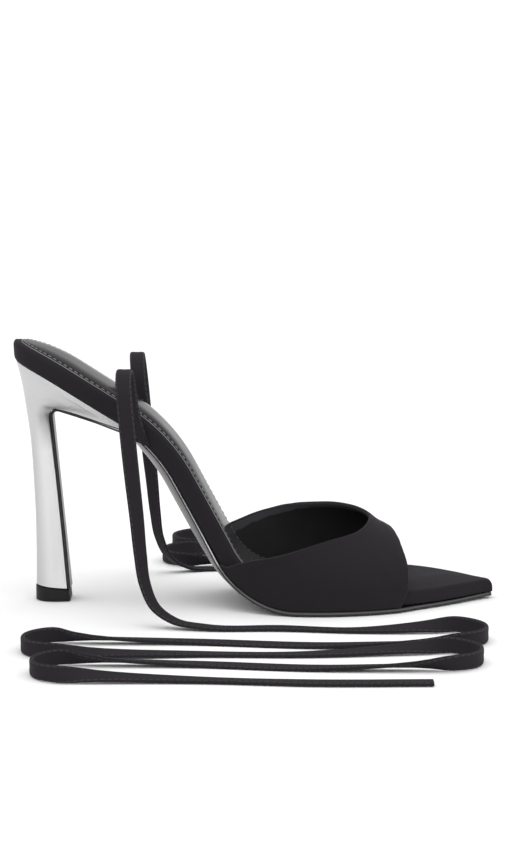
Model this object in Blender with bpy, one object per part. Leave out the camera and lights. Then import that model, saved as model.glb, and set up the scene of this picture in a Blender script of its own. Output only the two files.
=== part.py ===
"""A right-foot sandal with a high slanting heel, a toe strap and two long ankle ties.

Tables and sizes are in millimetres, meshes in metres. +X runs to the toe, +Y to the inner (medial) side of
the foot and +Z up. The origin is on the floor under the middle of the shoe. Pieces that meet stay GAP apart.
"""

import math
from bisect import bisect_right
from collections import namedtuple

import bmesh
import bpy
from mathutils import Vector

MM = 0.001
GAP = 0.3

# The last, seen from the side: lines and arcs along the lower edge of the insole, from the toe to the heel.
TOE_X = 105.6
TREAD_TOP = 2.3
TOE_SPRING = 0.7
TOE_REACH = 25.7
TREAD_LENGTH = 62.0
BALL_RADIUS = 38.0
SHANK_SLOPE = 61.5
SHANK_LENGTH = 36.9
WAIST_RADIUS = 72.0
SEAT_SLOPE = 32.4
SEAT_LENGTH = 27.0
SEAT_DISH_RADIUS = 115.0
SEAT_DISH_TURN = 13.3
SEAT_ROUND = 26.0
HEEL_AXIS_Y = 1.0

# Thicknesses of the pieces.
INSOLE_HEEL = 8.0
INSOLE_TOE = 5.2
INSOLE_TAPER = 32.0
INSOLE_NOSE = 2.6
ROLL = 2.4
ROLL_FALL = 2.6
ROLL_FOOT = 5.1
TOE_ROLL_OUTER = 1.6
TOE_ROLL_INNER = 5.4
TOE_FALL_OUTER = 1.0
TOE_CANT = 2.0
TOE_CANT_WIDTH = 20.0
SOCK_THICK = 0.8
SOCK_INSET = 1.7
SOCK_FRONT = 57.2
SOCK_ROUND = 16.0
VAMP_WALL = 1.8
SOLE_THICK = 2.0
SOLE_EDGE = 1.5
SOLE_BELLY = 5.2
SOLE_WAIST_EDGE = 1.2
SOLE_LEDGE = -0.6
SOLE_TOE_SHARE = 0.72
SOLE_TOE_TAPER = 34.0
BREAST_THICK = 1.25

# The underside of the heel: where the sole leaves the insole, the wedge, the inner corner and the breast.
WEDGE_SHARE = 16.0
WEDGE_RADIUS = 25.0
WEDGE_SLOPE = 15.8
WEDGE_LENGTH = 28.4
CORNER_RADIUS = 3.7
BREAST_LEAN = 5.4
BREAST_LENGTH = 74.2
TOP_PIECE_HEIGHT = 6.6
TOP_PIECE_BACK = -95.1
TOP_PIECE_FRONT = -80.1

TIE_WIDTH = 6.6
TIE_THICK = 1.7
TIE_SWAY = 0.012

Move = namedtuple("Move", "length turn")
Plan = namedtuple("Plan", "x lateral medial")
Ledge = namedtuple("Ledge", "x out belly")
Strip = namedtuple("Strip", "run half")
Crest = namedtuple("Crest", "x height y lateral_power medial_power")
Cut = namedtuple("Cut", "angle topline front")
Seat = namedtuple("Seat", "run back_z half front_half")
Back = namedtuple("Back", "z x")
Rise = namedtuple("Rise", "x out z turn")
Bend = namedtuple("Bend", "x out radius")
Step = namedtuple("Step", "angle on_edge")
Tie = namedtuple("Tie", "name side shift bends tail")

# Outline of the insole: distance of its outer and inner side from the middle line.
PLAN = [
    Plan(-83.0, 22.5, 24.5),
    Plan(-68.0, 22.3, 24.0),
    Plan(-54.0, 21.0, 22.2),
    Plan(-42.0, 20.0, 20.0),
    Plan(-30.0, 19.6, 18.8),
    Plan(-20.0, 20.4, 19.2),
    Plan(-10.0, 23.6, 21.2),
    Plan(0.0, 28.3, 24.9),
    Plan(10.0, 32.8, 29.2),
    Plan(20.0, 35.3, 32.9),
    Plan(30.0, 35.6, 35.2),
    Plan(40.0, 34.6, 35.7),
    Plan(50.0, 32.5, 34.9),
    Plan(60.0, 28.8, 32.9),
    Plan(70.0, 23.6, 29.2),
    Plan(80.0, 17.1, 23.6),
    Plan(90.0, 9.8, 16.6),
    Plan(98.0, 3.3, 9.9),
    Plan(102.5, 0.0, 6.2),
    Plan(106.2, -1.6, 4.6),
]

# How far the sole stands out past the insole, and how convex it is underneath (0 flat, 1 full belly).
LEDGES = [
    Ledge(-50.0, -2.3, 0.85),
    Ledge(-35.0, -1.8, 1.0),
    Ledge(-22.0, -1.0, 1.0),
    Ledge(-12.0, 1.2, 0.75),
    Ledge(0.0, 2.6, 0.35),
    Ledge(16.0, 2.7, 0.0),
    Ledge(62.0, 2.7, 0.0),
    Ledge(72.0, 0.9, 0.0),
    Ledge(106.0, 0.35, 0.0),
]

# Half width of the sole strip under the wedge and down the breast, by run from where it leaves the insole.
STRIPS = [
    Strip(0.0, 17.9),
    Strip(12.0, 15.6),
    Strip(25.0, 10.8),
    Strip(41.4, 6.3),
    Strip(48.6, 5.3),
    Strip(62.0, 4.7),
    Strip(82.0, 4.4),
    Strip(106.0, 5.0),
    Strip(123.0, 6.0),
]

# Arched sections of the last over the toes: ridge height, ridge place, roundness of the two sides.
CRESTS = [
    Crest(-20.0, 88.0, 5.0, 2.2, 2.4),
    Crest(0.0, 68.0, 5.0, 2.2, 2.4),
    Crest(20.0, 50.3, 5.0, 2.0, 2.4),
    Crest(40.0, 42.0, 4.5, 1.75, 2.5),
    Crest(50.0, 37.7, 4.0, 1.65, 2.4),
    Crest(55.0, 34.3, 3.5, 1.72, 2.3),
    Crest(60.0, 31.5, 3.0, 1.8, 2.2),
    Crest(70.0, 25.6, 2.5, 1.9, 2.1),
]

# Cut edges of the toe strap: angle over the foot from the outer to the inner side, rear edge, front edge.
# The rows past 0 and 180 degrees are its lower edges; below WALL_RISE the strap stands straight.
WALL_RISE = 5.5
CUTS = [
    Cut(-1, -14.4, 63.8),
    Cut(0, -9.9, 66.0),
    Cut(2.4, -7.5, 66.5),
    Cut(8, -1.5, 66.9),
    Cut(16, 7.7, 67.1),
    Cut(28, 19.6, 67.1),
    Cut(39, 31.0, 66.7),
    Cut(48, 40.0, 66.0),
    Cut(55, 45.2, 65.3),
    Cut(64, 48.7, 64.4),
    Cut(75, 50.8, 62.8),
    Cut(90, 51.7, 60.8),
    Cut(96, 50.4, 60.8),
    Cut(102.6, 47.6, 61.2),
    Cut(109.3, 44.4, 61.9),
    Cut(116.5, 40.3, 62.9),
    Cut(127.8, 31.0, 64.6),
    Cut(140, 18.2, 66.3),
    Cut(152, 8.4, 67.3),
    Cut(162.9, -1.4, 67.8),
    Cut(173, -10.1, 67.6),
    Cut(180, -15.6, 67.2),
    Cut(181, -18.6, 66.2),
]
VAMP_ANGLES = [-1, 0, 2, 4.5, 8, 12, 17, 23, 29, 36, 43, 50, 58, 66, 74, 82]
VAMP_STEPS = 16

# Slices of the heel, fanned out from the seat to the foot: front end by its run along the sole strip.
SEATS = [
    Seat(6.5, 104.9, 22.4, 19.4),
    Seat(14.0, 102.2, 20.6, 16.8),
    Seat(22.0, 98.8, 18.2, 13.8),
    Seat(30.0, 95.0, 15.2, 10.6),
    Seat(37.5, 90.8, 12.4, 8.1),
    Seat(42.0, 88.0, 10.9, 7.1),
    Seat(44.2, 85.6, 9.9, 6.6),
    Seat(46.4, 83.3, 9.0, 6.2),
    Seat(48.5, 81.1, 8.3, 5.9),
    Seat(53.0, 76.9, 7.5, 5.6),
    Seat(65.0, 65.0, 6.3, 5.1),
    Seat(79.0, 51.0, 5.8, 4.9),
    Seat(93.0, 37.1, 5.9, 5.0),
    Seat(107.0, 23.1, 6.5, 5.5),
    Seat(116.0, 14.2, 7.1, 6.0),
    Seat(122.6, 7.1, 7.6, 6.4),
]
SEAT_TOP = Seat(6.0, 106.0, 22.8, 19.6)
BACKS = [
    Back(7.0, -94.8),
    Back(20.0, -94.7),
    Back(35.0, -94.8),
    Back(53.0, -95.5),
    Back(70.0, -96.5),
    Back(85.0, -98.4),
    Back(95.0, -99.9),
    Back(105.0, -102.2),
    Back(112.0, -104.2),
]

# The ties rise beside the insole, arch over outwards and fall to the floor; `turn` is the twist of the width.
RISE = [
    Rise(-49.2, 22.3, 76.8, 0),
    Rise(-50.8, 22.5, 83.5, 0),
    Rise(-52.0, 23.0, 90.0, 0),
    Rise(-52.7, 25.0, 97.5, 0),
    Rise(-53.3, 30.5, 103.0, 0),
    Rise(-53.6, 38.0, 105.0, 0),
    Rise(-53.6, 45.5, 103.0, 0),
    Rise(-53.2, 51.0, 97.5, 0),
    Rise(-52.5, 53.0, 90.0, 0),
    Rise(-51.4, 53.4, 78.0, 6),
    Rise(-49.8, 53.4, 62.0, 16),
    Rise(-48.0, 53.4, 45.0, 30),
    Rise(-46.6, 53.8, 30.0, 41),
    Rise(-44.8, 54.8, 18.0, 50),
    Rise(-40.4, 56.8, 8.4, 58),
    Rise(-32.5, 59.4, 3.2, 64),
    Rise(-20.5, 62.2, 1.4, 74),
]
# On the floor they run from bend to bend, at the toe end and the heel end in turn, and stop after the tail.
LATERAL_BENDS = [
    Bend(80.0, 81.0, 15.0),
    Bend(-77.0, 100.0, 14.5),
    Bend(74.0, 119.0, 15.5),
    Bend(-70.0, 138.0, 14.5),
]
MEDIAL_BENDS = [
    Bend(54.0, 68.5, 14.5),
    Bend(-20.0, 86.1, 15.0),
    Bend(52.0, 103.7, 15.0),
    Bend(-17.0, 121.3, 14.5),
    Bend(50.0, 138.9, 15.0),
    Bend(-20.0, 156.5, 14.5),
    Bend(43.0, 174.1, 15.0),
]
ROUND_BEND = [
    Step(-112, 0.45),
    Step(-75, 0.9),
    Step(-38, 1.0),
    Step(0, 1.0),
    Step(38, 1.0),
    Step(75, 0.9),
    Step(112, 0.45),
]
TIES = [
    Tie("ankle_tie_lateral", -1, Vector((0.0, 0.0, 0.0)), LATERAL_BENDS, Vector((68.0, -155.0, 0.0))),
    Tie("ankle_tie_medial", 1, Vector((1.8, 1.0, -1.0)), MEDIAL_BENDS, Vector((10.0, 188.7, 0.0))),
]

# Colour, roughness and metalness of each piece.
Finish = namedtuple("Finish", "colour roughness metallic")
SATIN = Finish((0.016, 0.015, 0.017), 0.42, 0.0)
SOCK_LEATHER = Finish((0.012, 0.012, 0.013), 0.22, 0.0)
SOLE_LEATHER = Finish((0.014, 0.013, 0.013), 0.25, 0.0)
SILVER = Finish((0.72, 0.72, 0.74), 0.30, 0.9)
RUBBER = Finish((0.018, 0.018, 0.019), 0.55, 0.0)


def smooth(rows, key, value):
    """A function through one column of a table, without overshoot between its rows."""
    xs = [getattr(row, key) for row in rows]
    ys = [getattr(row, value) for row in rows]
    steps = [b - a for a, b in zip(xs, xs[1:])]
    slopes = [(b - a) / h for a, b, h in zip(ys, ys[1:], steps)]
    tangents = [slopes[0]]
    for a, b in zip(slopes, slopes[1:]):
        tangents.append(0.0 if a * b <= 0.0 else 2.0 * a * b / (a + b))
    tangents.append(slopes[-1])

    def at(x):
        x = min(max(x, xs[0]), xs[-1])
        i = min(bisect_right(xs, x), len(xs) - 1) - 1
        h = steps[i]
        t = (x - xs[i]) / h
        blend = t * t * (3.0 - 2.0 * t)
        rise = h * t * (1.0 - t) * ((1.0 - t) * tangents[i] - t * tangents[i + 1])
        return ys[i] + (ys[i + 1] - ys[i]) * blend + rise

    return at


def trace(x, z, heading, moves, step=0.5):
    """A drawn line in the side view: (run, x, z, heading) at small steps along lines and arcs."""
    line = [(0.0, x, z, heading)]
    run = 0.0
    for move in moves:
        count = max(1, math.ceil(move.length / step))
        for _ in range(count):
            turn = math.radians(move.turn) / count
            length = move.length / count
            x += length * math.cos(heading + turn / 2)
            z += length * math.sin(heading + turn / 2)
            heading += turn
            run += length
            line.append((run, x, z, heading))
    return line


def along(line, run):
    """Point (x, z) and upward normal (nx, nz) of a drawn line at a run from its start."""
    runs = [p[0] for p in line]
    run = min(max(run, 0.0), runs[-1])
    i = min(bisect_right(runs, run), len(line) - 1)
    a, b = line[i - 1], line[i]
    t = (run - a[0]) / (b[0] - a[0])
    x, z, heading = (a[k] + (b[k] - a[k]) * t for k in (1, 2, 3))
    return x, z, math.sin(heading), -math.cos(heading)


def arc(radius, turn):
    return Move(radius * math.radians(abs(turn)), turn)


def side_line(extra, moves):
    """The side view's line, begun `extra` past the toe of the insole, with the given moves after the shank."""
    radius = TOE_REACH**2 / TOE_SPRING / 2
    lift = math.degrees((TOE_REACH + extra) / radius)
    rise = radius * (1.0 - math.cos(math.radians(lift)))
    front = [
        arc(radius, -lift),
        Move(TREAD_LENGTH, 0.0),
        arc(BALL_RADIUS, -SHANK_SLOPE),
        Move(SHANK_LENGTH, 0.0),
    ]
    return trace(TOE_X + extra, TREAD_TOP + rise, math.radians(180.0 + lift), front + moves)


SEAT_MOVES = [Move(SEAT_LENGTH, 0.0), arc(SEAT_DISH_RADIUS, SEAT_DISH_TURN)]
FEATHER = side_line(0.0, [arc(WAIST_RADIUS, SHANK_SLOPE - SEAT_SLOPE)] + SEAT_MOVES)
SOLE_END = side_line(SOLE_LEDGE, [arc(WAIST_RADIUS, WEDGE_SHARE)])[-1][0]
SOLE = side_line(
    SOLE_LEDGE,
    [
        arc(WAIST_RADIUS, WEDGE_SHARE),
        arc(WEDGE_RADIUS, SHANK_SLOPE - WEDGE_SHARE - WEDGE_SLOPE),
        Move(WEDGE_LENGTH, 0.0),
        arc(CORNER_RADIUS, 90.0 + WEDGE_SLOPE + BREAST_LEAN),
        Move(BREAST_LENGTH, 0.0),
    ],
)
RUN = FEATHER[-1][0]
lateral_at = smooth(PLAN, "x", "lateral")
medial_at = smooth(PLAN, "x", "medial")
ledge_at = smooth(LEDGES, "x", "out")
belly_at = smooth(LEDGES, "x", "belly")
strip_at = smooth(STRIPS, "run", "half")
back_at = smooth(BACKS, "z", "x")
crest_at = [smooth(CRESTS, "x", column) for column in ("height", "y", "lateral_power", "medial_power")]
topline_at = smooth(CUTS, "angle", "topline")
front_at = smooth(CUTS, "angle", "front")


def feather_z(x):
    """Height of the insole's lower edge above a place on the middle line."""
    low, high = 0, len(FEATHER) - 1
    while high - low > 1:
        mid = (low + high) // 2
        low, high = (low, mid) if FEATHER[mid][1] < x else (mid, high)
    a, b = FEATHER[low], FEATHER[high]
    t = (x - a[1]) / (b[1] - a[1])
    return a[2] + (b[2] - a[2]) * min(max(t, 0.0), 1.0)


def sides(run, inset=0.0):
    """Left and right edge (y) of the insole, less an inset, at a run from its toe."""
    x = along(FEATHER, run)[0]
    middle = (medial_at(x) - lateral_at(x)) / 2
    half = (medial_at(x) + lateral_at(x)) / 2 - inset
    left = (RUN - run - inset) / SEAT_ROUND
    if left < 1.0:
        half *= math.sqrt(max(1.0 - (1.0 - left) ** 2, 0.0))
    return middle - half, middle + half


def insole_thick(run):
    """The insole thins out towards the toe, and its nose is rounded."""
    thin = max(1.0 - run / INSOLE_TAPER, 0.0)
    thick = INSOLE_HEEL - (INSOLE_HEEL - INSOLE_TOE) * thin * thin
    nose = max(1.0 - run / INSOLE_NOSE, 0.0)
    return thick - INSOLE_NOSE * (1.0 - math.sqrt(1.0 - nose * nose))


def stations(front, inset, count):
    """Runs from the front to the heel, closer together where the outline rounds off."""
    runs = [front + d for d in (0.0, 0.35, 1.0, 2.4, 4.5, 8.0, 13.0)]
    even = RUN - SEAT_ROUND - runs[-1]
    runs += [runs[-1] + even * (i + 1) / count for i in range(count)]
    reach = SEAT_ROUND - inset
    runs += [RUN - inset - reach * (1.0 - math.sin(math.radians(a))) for a in (16, 32, 47, 60, 71, 80, 86.5)]
    return runs


def placed(line, run, y, up):
    """A point of a section square to the side line: y across and `up` along the normal."""
    x, z, nx, nz = along(line, run)
    return Vector((x + nx * up, y, z + nz * up)) * MM


def material(name, finish):
    made = bpy.data.materials.new(name)
    made.use_nodes = True
    shader = made.node_tree.nodes["Principled BSDF"]
    shader.inputs["Base Color"].default_value = (*finish.colour, 1.0)
    shader.inputs["Roughness"].default_value = finish.roughness
    shader.inputs["Metallic"].default_value = finish.metallic
    return made


def add(name, bm, finish, sharp=35.0):
    bmesh.ops.recalc_face_normals(bm, faces=bm.faces)
    mesh = bpy.data.meshes.new(name)
    bm.to_mesh(mesh)
    bm.free()
    mesh.shade_smooth()
    mesh.set_sharp_from_angle(angle=math.radians(sharp))
    mesh.materials.append(material(name, finish))
    made = bpy.data.objects.new(name, mesh)
    bpy.context.scene.collection.objects.link(made)
    return made


def loft(name, rings, finish, sharp=35.0):
    """A closed body through rings of equal count, capped at both ends by strips from side to side."""
    bm = bmesh.new()
    loops = [[bm.verts.new(point) for point in ring] for ring in rings]
    for a, b in zip(loops, loops[1:]):
        for i in range(len(a)):
            j = (i + 1) % len(a)
            bm.faces.new((a[i], a[j], b[j], b[i]))
    for end in (loops[0], loops[-1]):
        last = len(end) - 1
        for i in range((last + 1) // 2):
            corners = (end[i], end[i + 1], end[last - i - 1], end[last - i])
            if corners[1] is not corners[3] and len(set(corners)) > 2:
                bm.faces.new(list(dict.fromkeys(corners)))
    return add(name, bm, finish, sharp)


def cant(run, distance, half):
    """How far the top leans down towards the outer edge of the open toe."""
    depth = TOE_CANT * min(run / 26.0, 1.0) * min(max((57.0 - run) / 12.0, 0.0), 1.0)
    return depth * max(1.0 - distance / min(TOE_CANT_WIDTH, 1.2 * half), 0.0) ** 1.6


def insole_edge(run, half, roll, full_fall, leans):
    """One edge of a section: (distance in, height) from the lower edge up, round the soft corner and over the top."""
    t = insole_thick(run)
    fit = min(1.0, half / 6.5)
    fall = min(max(t - ROLL_FOOT, 1.0), full_fall)
    edge = [(fit, 0.0), (0.0, 1.0)]
    for a in (0.0, 30.0, 60.0, 90.0):
        turn = math.radians(a)
        edge.append((roll * fit * (1.0 - math.cos(turn)), t - fall * (1.0 - math.sin(turn))))
    if leans:
        edge += [(0.5 * half, t), (0.95 * half, t)]
        edge = edge[:2] + [(d, up - cant(run, d, half)) for d, up in edge[2:]]
    return edge


def insole():
    rings = []
    for run in stations(0.0, 0.0, 36):
        low, high = sides(run)
        half = (high - low) / 2
        toe = min(max((70.0 - run) / 30.0, 0.0), 1.0)
        outer_roll = ROLL + (TOE_ROLL_OUTER - ROLL) * toe
        inner_roll = ROLL + (TOE_ROLL_INNER - ROLL) * toe
        outer_fall = ROLL_FALL + (TOE_FALL_OUTER - ROLL_FALL) * toe
        outer = insole_edge(run, half, outer_roll, outer_fall, True)
        inner = insole_edge(run, half, inner_roll, ROLL_FALL, False)
        ring = [placed(FEATHER, run, low + d, up) for d, up in outer]
        ring += [placed(FEATHER, run, high - d, up) for d, up in reversed(inner)]
        rings.append(ring)
    loft("insole", rings, SATIN)


def sock():
    rings = []
    for run in stations(SOCK_FRONT + 0.2, SOCK_INSET, 28):
        low, high = sides(run, SOCK_INSET)
        left = (run - SOCK_FRONT) / SOCK_ROUND
        if left < 1.0:
            middle = (low + high) / 2
            low, high = (middle + (y - middle) * math.sqrt(1.0 - (1.0 - left) ** 2) for y in (low, high))
        base = insole_thick(run) + GAP
        fit = min(0.6, (high - low) / 5.0)
        corner = [(0.0, base), (0.0, base + 0.4), (fit, base + SOCK_THICK)]
        ring = [placed(FEATHER, run, low + a, up) for a, up in corner]
        ring += [placed(FEATHER, run, high - a, up) for a, up in reversed(corner)]
        rings.append(ring)
    loft("sock", rings, SOCK_LEATHER)


def sole_runs():
    toe = [0.0, 0.9, 2.2, 4.5, 8.0, 13.0, 19.0]
    middle = [19.0 + (SOLE_END - 19.0) * (i + 1) / 31 for i in range(31)]
    wedge = [SOLE_END + r for r in (4.0, 8.0, 12.0, 18.0, 25.0, 33.0, 41.3)]
    corner = [SOLE_END + r for r in (43.1, 44.9, 46.7, 48.5)]
    breast = [SOLE_END + 48.5 + (SOLE[-1][0] - SOLE_END - 48.5) * (i + 1) / 6 for i in range(6)]
    return toe + middle + wedge + corner + breast


def outsole():
    across = (-1.0, -0.9, -0.5, 0.0, 0.5, 0.9, 1.0)
    rings = []
    for run in sole_runs():
        x = along(SOLE, run)[0]
        past = run - SOLE_END
        out = ledge_at(x)
        low, high = -lateral_at(x) - out, medial_at(x) + out
        belly = belly_at(x)
        if past > 0.0:
            fade = min(past / 25.0, 1.0)
            middle = HEEL_AXIS_Y * fade + (low + high) / 2 * (1.0 - fade)
            low, high = middle - strip_at(past), middle + strip_at(past)
            belly *= 1.0 - fade
        ring = [placed(SOLE, run, high, -GAP), placed(SOLE, run, low, -GAP)]
        for share in across:
            flat = SOLE_EDGE if abs(share) == 1.0 else SOLE_THICK
            flat *= min(SOLE_TOE_SHARE + (1.0 - SOLE_TOE_SHARE) * run / SOLE_TOE_TAPER, 1.0)
            full = SOLE_WAIST_EDGE + (SOLE_BELLY - SOLE_WAIST_EDGE) * (1.0 - share * share)
            if past > 0.0:
                thin = BREAST_THICK if abs(share) < 1.0 else BREAST_THICK - 0.25
                flat = thin * fade + flat * (1.0 - fade)
            depth = flat + (full - flat) * belly
            y = (low + high) / 2 + (high - low) / 2 * share
            ring.append(placed(SOLE, run, y, -GAP - depth))
        rings.append(ring)
    loft("outsole", rings, SOLE_LEATHER, 30.0)


def d_outline(widest, half, front_half):
    """A plan rounded behind and flat in front: (share of the length from the back, half width)."""
    outline = []
    for i in range(1, 8):
        a = math.radians(90.0 * i / 7)
        outline.append((widest * (1.0 - math.cos(a)), half * math.sin(a)))
    for i in range(1, 5):
        t = i / 4
        outline.append((widest + (1.0 - widest) * t, half - (half - front_half) * t * t))
    return [(share, -w) for share, w in reversed(outline)] + [(0.0, 0.0)] + outline


def heel_ring(back, front, widest, half, front_half):
    ring = []
    for share, w in d_outline(widest, half, front_half):
        x = back[0] + (front[0] - back[0]) * share
        z = back[1] + (front[1] - back[1]) * share
        ring.append(Vector((x, HEEL_AXIS_Y + w, z)) * MM)
    return ring


def heel():
    fx = along(SOLE, SOLE_END + SEAT_TOP.run)[0]
    front = (fx, feather_z(fx) - GAP * 1.25)
    seat = heel_ring((back_at(SEAT_TOP.back_z), SEAT_TOP.back_z), front, 0.42, SEAT_TOP.half, SEAT_TOP.front_half)
    rings = [[Vector((p.x, p.y, (feather_z(p.x / MM) - GAP * 1.25) * MM)) for p in seat]]
    for seat in SEATS:
        x, z = along(SOLE, SOLE_END + seat.run)[:2]
        share = min(max((seat.half - 6.0) / 16.0, 0.0), 1.0)
        widest = 0.56 - 0.14 * share
        rings.append(heel_ring((back_at(seat.back_z), seat.back_z), (x, z), widest, seat.half, seat.front_half))
    loft("heel", rings, SILVER, 40.0)


def top_piece():
    outline = d_outline(0.52, SEATS[-1].half + 0.3, SEATS[-1].front_half + 0.4)
    length = TOP_PIECE_FRONT - TOP_PIECE_BACK
    bm = bmesh.new()
    ring = [bm.verts.new(Vector((TOP_PIECE_BACK + length * s, HEEL_AXIS_Y + w, 0.0)) * MM) for s, w in outline]
    base = bm.faces.new(ring)
    made = bmesh.ops.extrude_face_region(bm, geom=[base])
    lifted = [v for v in made["geom"] if isinstance(v, bmesh.types.BMVert)]
    bmesh.ops.translate(bm, verts=lifted, vec=Vector((0.0, 0.0, TOP_PIECE_HEIGHT * MM)))
    add("top_piece", bm, RUBBER)


def vamp_point(angle, x):
    """A point of the strap's outer face: an arch over the foot at station x."""
    height, ridge, lateral_power, medial_power = (at(x) for at in crest_at)
    base = feather_z(x)
    out = GAP + VAMP_WALL
    turn = math.radians(min(max(angle, 0.0), 180.0))
    outer = angle <= 90.0
    power = lateral_power if outer else medial_power
    reach = ridge + lateral_at(x) + out if outer else medial_at(x) + out - ridge
    across = reach * abs(math.cos(turn)) ** (2.0 / power)
    up = 0.0
    if 0.0 <= angle <= 180.0:
        up = WALL_RISE + (height - base - WALL_RISE) * max(math.sin(turn), 0.0) ** (2.0 / power)
    return Vector((x, ridge - across if outer else ridge + across, base + up)) * MM


def vamp():
    angles = VAMP_ANGLES + [90.0] + [180.0 - a for a in reversed(VAMP_ANGLES)]
    bm = bmesh.new()
    grid = []
    for angle in angles:
        rear, front = topline_at(angle), front_at(angle)
        places = [rear + (front - rear) * i / VAMP_STEPS for i in range(VAMP_STEPS + 1)]
        grid.append([bm.verts.new(vamp_point(angle, x)) for x in places])
    for a, b in zip(grid, grid[1:]):
        for i in range(VAMP_STEPS):
            bm.faces.new((a[i], b[i], b[i + 1], a[i + 1]))
    bm.normal_update()
    middle = grid[len(grid) // 2][VAMP_STEPS // 2]
    if middle.normal.z < 0.0:
        bmesh.ops.reverse_faces(bm, faces=bm.faces)
    mesh = bpy.data.meshes.new("vamp")
    bm.to_mesh(mesh)
    bm.free()
    mesh.shade_smooth()
    mesh.materials.append(material("vamp", SATIN))
    made = bpy.data.objects.new("vamp", mesh)
    bpy.context.scene.collection.objects.link(made)
    wall = made.modifiers.new("wall", "SOLIDIFY")
    wall.thickness = VAMP_WALL * MM
    wall.offset = -1.0
    wall.use_even_offset = True
    wall.use_quality_normals = True


def curve_through(points, spans, splits):
    """Points along a smooth curve through the given ones, which lie the given spans apart."""
    slopes = [(b - a) / span for a, b, span in zip(points, points[1:], spans)]
    tangents = [slopes[0]]
    for a, b, before, after in zip(slopes, slopes[1:], spans, spans[1:]):
        tangents.append((a * after + b * before) / (before + after))
    tangents.append(slopes[-1])
    made = []
    for i, span in enumerate(spans):
        for k in range(splits):
            t = k / splits
            pull = tangents[i] * (1.0 - t) - tangents[i + 1] * t
            made.append(points[i].lerp(points[i + 1], t * t * (3.0 - 2.0 * t)) + pull * (span * t * (1.0 - t)))
    return made + [points[-1]]


def floor_route(tie, landing):
    """Places on the floor and how far the tie stands on edge there: flat on the straights, up in the bends."""
    route = []
    last = landing
    for number, bend in enumerate(tie.bends):
        ahead = 1 if number % 2 == 0 else -1
        turn = []
        for step in ROUND_BEND:
            angle = math.radians(step.angle)
            x = bend.x + ahead * bend.radius * math.cos(angle)
            turn.append((Vector((x, tie.side * (bend.out + bend.radius * math.sin(angle)), 0.0)), step.on_edge))
        route += straight(last, turn[0][0], ahead) + turn
        last = turn[-1][0]
    return route + straight(last, tie.tail, 1) + [(tie.tail, 0.0)]


def straight(a, b, way):
    """Two places between a and b, a little to either side of the straight line."""
    sway = Vector((0.0, TIE_SWAY * way * (b - a).length, 0.0))
    return [(a.lerp(b, 0.34) + sway, 0.0), (a.lerp(b, 0.67) - sway, 0.0)]


def tie_frames(tie, splits=2):
    """Centres, width and face directions along a tie."""
    centres, widths = [], []
    for row in RISE:
        turn = math.radians(row.turn)
        centres.append(Vector((row.x, tie.side * row.out, row.z)) + tie.shift)
        widths.append(Vector((-tie.side * math.cos(turn), math.sin(turn), 0.0)))
    landing = Vector((centres[-1].x, centres[-1].y, 0.0))
    route = floor_route(tie, landing)
    places = [landing] + [place for place, _ in route]
    for i, (place, on_edge) in enumerate(route):
        lean = math.radians(90.0 * on_edge)
        ahead = places[min(i + 2, len(places) - 1)] - places[i]
        across = Vector((-ahead.y, ahead.x, 0.0)).normalized()
        widths.append(across * math.cos(lean) + Vector((0.0, 0.0, math.sin(lean))))
        lift = (TIE_WIDTH * math.sin(lean) + TIE_THICK * math.cos(lean)) / 2 + 0.1
        centres.append(place + Vector((0.0, 0.0, lift)))
    spans = [(b - a).length for a, b in zip(centres, centres[1:])]
    path = curve_through(centres, spans, splits)
    turns = curve_through(widths, spans, splits)
    frames = []
    for i, centre in enumerate(path):
        tangent = (path[min(i + 1, len(path) - 1)] - path[max(i - 1, 0)]).normalized()
        width = (turns[i] - tangent * turns[i].dot(tangent)).normalized()
        frames.append((centre, width, tangent.cross(width)))
    return frames


def lay_tie(tie):
    half, thick = TIE_WIDTH / 2, TIE_THICK / 2
    section = [(-half, 0.0), (-half + 0.8, -thick), (half - 0.8, -thick)]
    section += [(half, 0.0), (half - 0.8, thick), (-half + 0.8, thick)]
    rings = []
    for centre, width, face in tie_frames(tie):
        ring = [centre + width * a + face * b for a, b in section]
        rings.append([Vector((p.x, p.y, max(p.z, 0.05))) * MM for p in ring])
    loft(tie.name, rings, SATIN, 50.0)


def main():
    for old in list(bpy.data.objects):
        bpy.data.objects.remove(old, do_unlink=True)
    outsole()
    insole()
    sock()
    vamp()
    heel()
    top_piece()
    for tie in TIES:
        lay_tie(tie)


main()
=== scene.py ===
# %% [markdown]
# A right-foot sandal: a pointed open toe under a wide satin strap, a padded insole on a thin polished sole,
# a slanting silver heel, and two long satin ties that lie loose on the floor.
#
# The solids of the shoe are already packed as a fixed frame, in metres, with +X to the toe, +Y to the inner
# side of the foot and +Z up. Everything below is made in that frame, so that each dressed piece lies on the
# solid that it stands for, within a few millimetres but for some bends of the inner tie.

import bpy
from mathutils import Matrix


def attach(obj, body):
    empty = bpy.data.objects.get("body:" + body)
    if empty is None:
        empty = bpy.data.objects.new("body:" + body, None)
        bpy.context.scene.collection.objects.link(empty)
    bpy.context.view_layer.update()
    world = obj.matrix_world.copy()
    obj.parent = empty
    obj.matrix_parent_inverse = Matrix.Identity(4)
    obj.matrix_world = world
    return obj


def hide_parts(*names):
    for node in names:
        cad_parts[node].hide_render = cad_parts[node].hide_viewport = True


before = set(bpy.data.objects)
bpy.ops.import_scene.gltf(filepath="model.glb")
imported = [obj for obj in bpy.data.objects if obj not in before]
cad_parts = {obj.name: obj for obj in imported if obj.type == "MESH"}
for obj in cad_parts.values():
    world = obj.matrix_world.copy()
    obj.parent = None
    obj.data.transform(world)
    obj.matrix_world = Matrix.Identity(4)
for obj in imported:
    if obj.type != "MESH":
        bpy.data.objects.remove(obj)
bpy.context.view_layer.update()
print("solids:", ", ".join(sorted(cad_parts)))

# %% Modules and the unit
import math
from bisect import bisect_right
from collections import namedtuple
from itertools import accumulate

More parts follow.
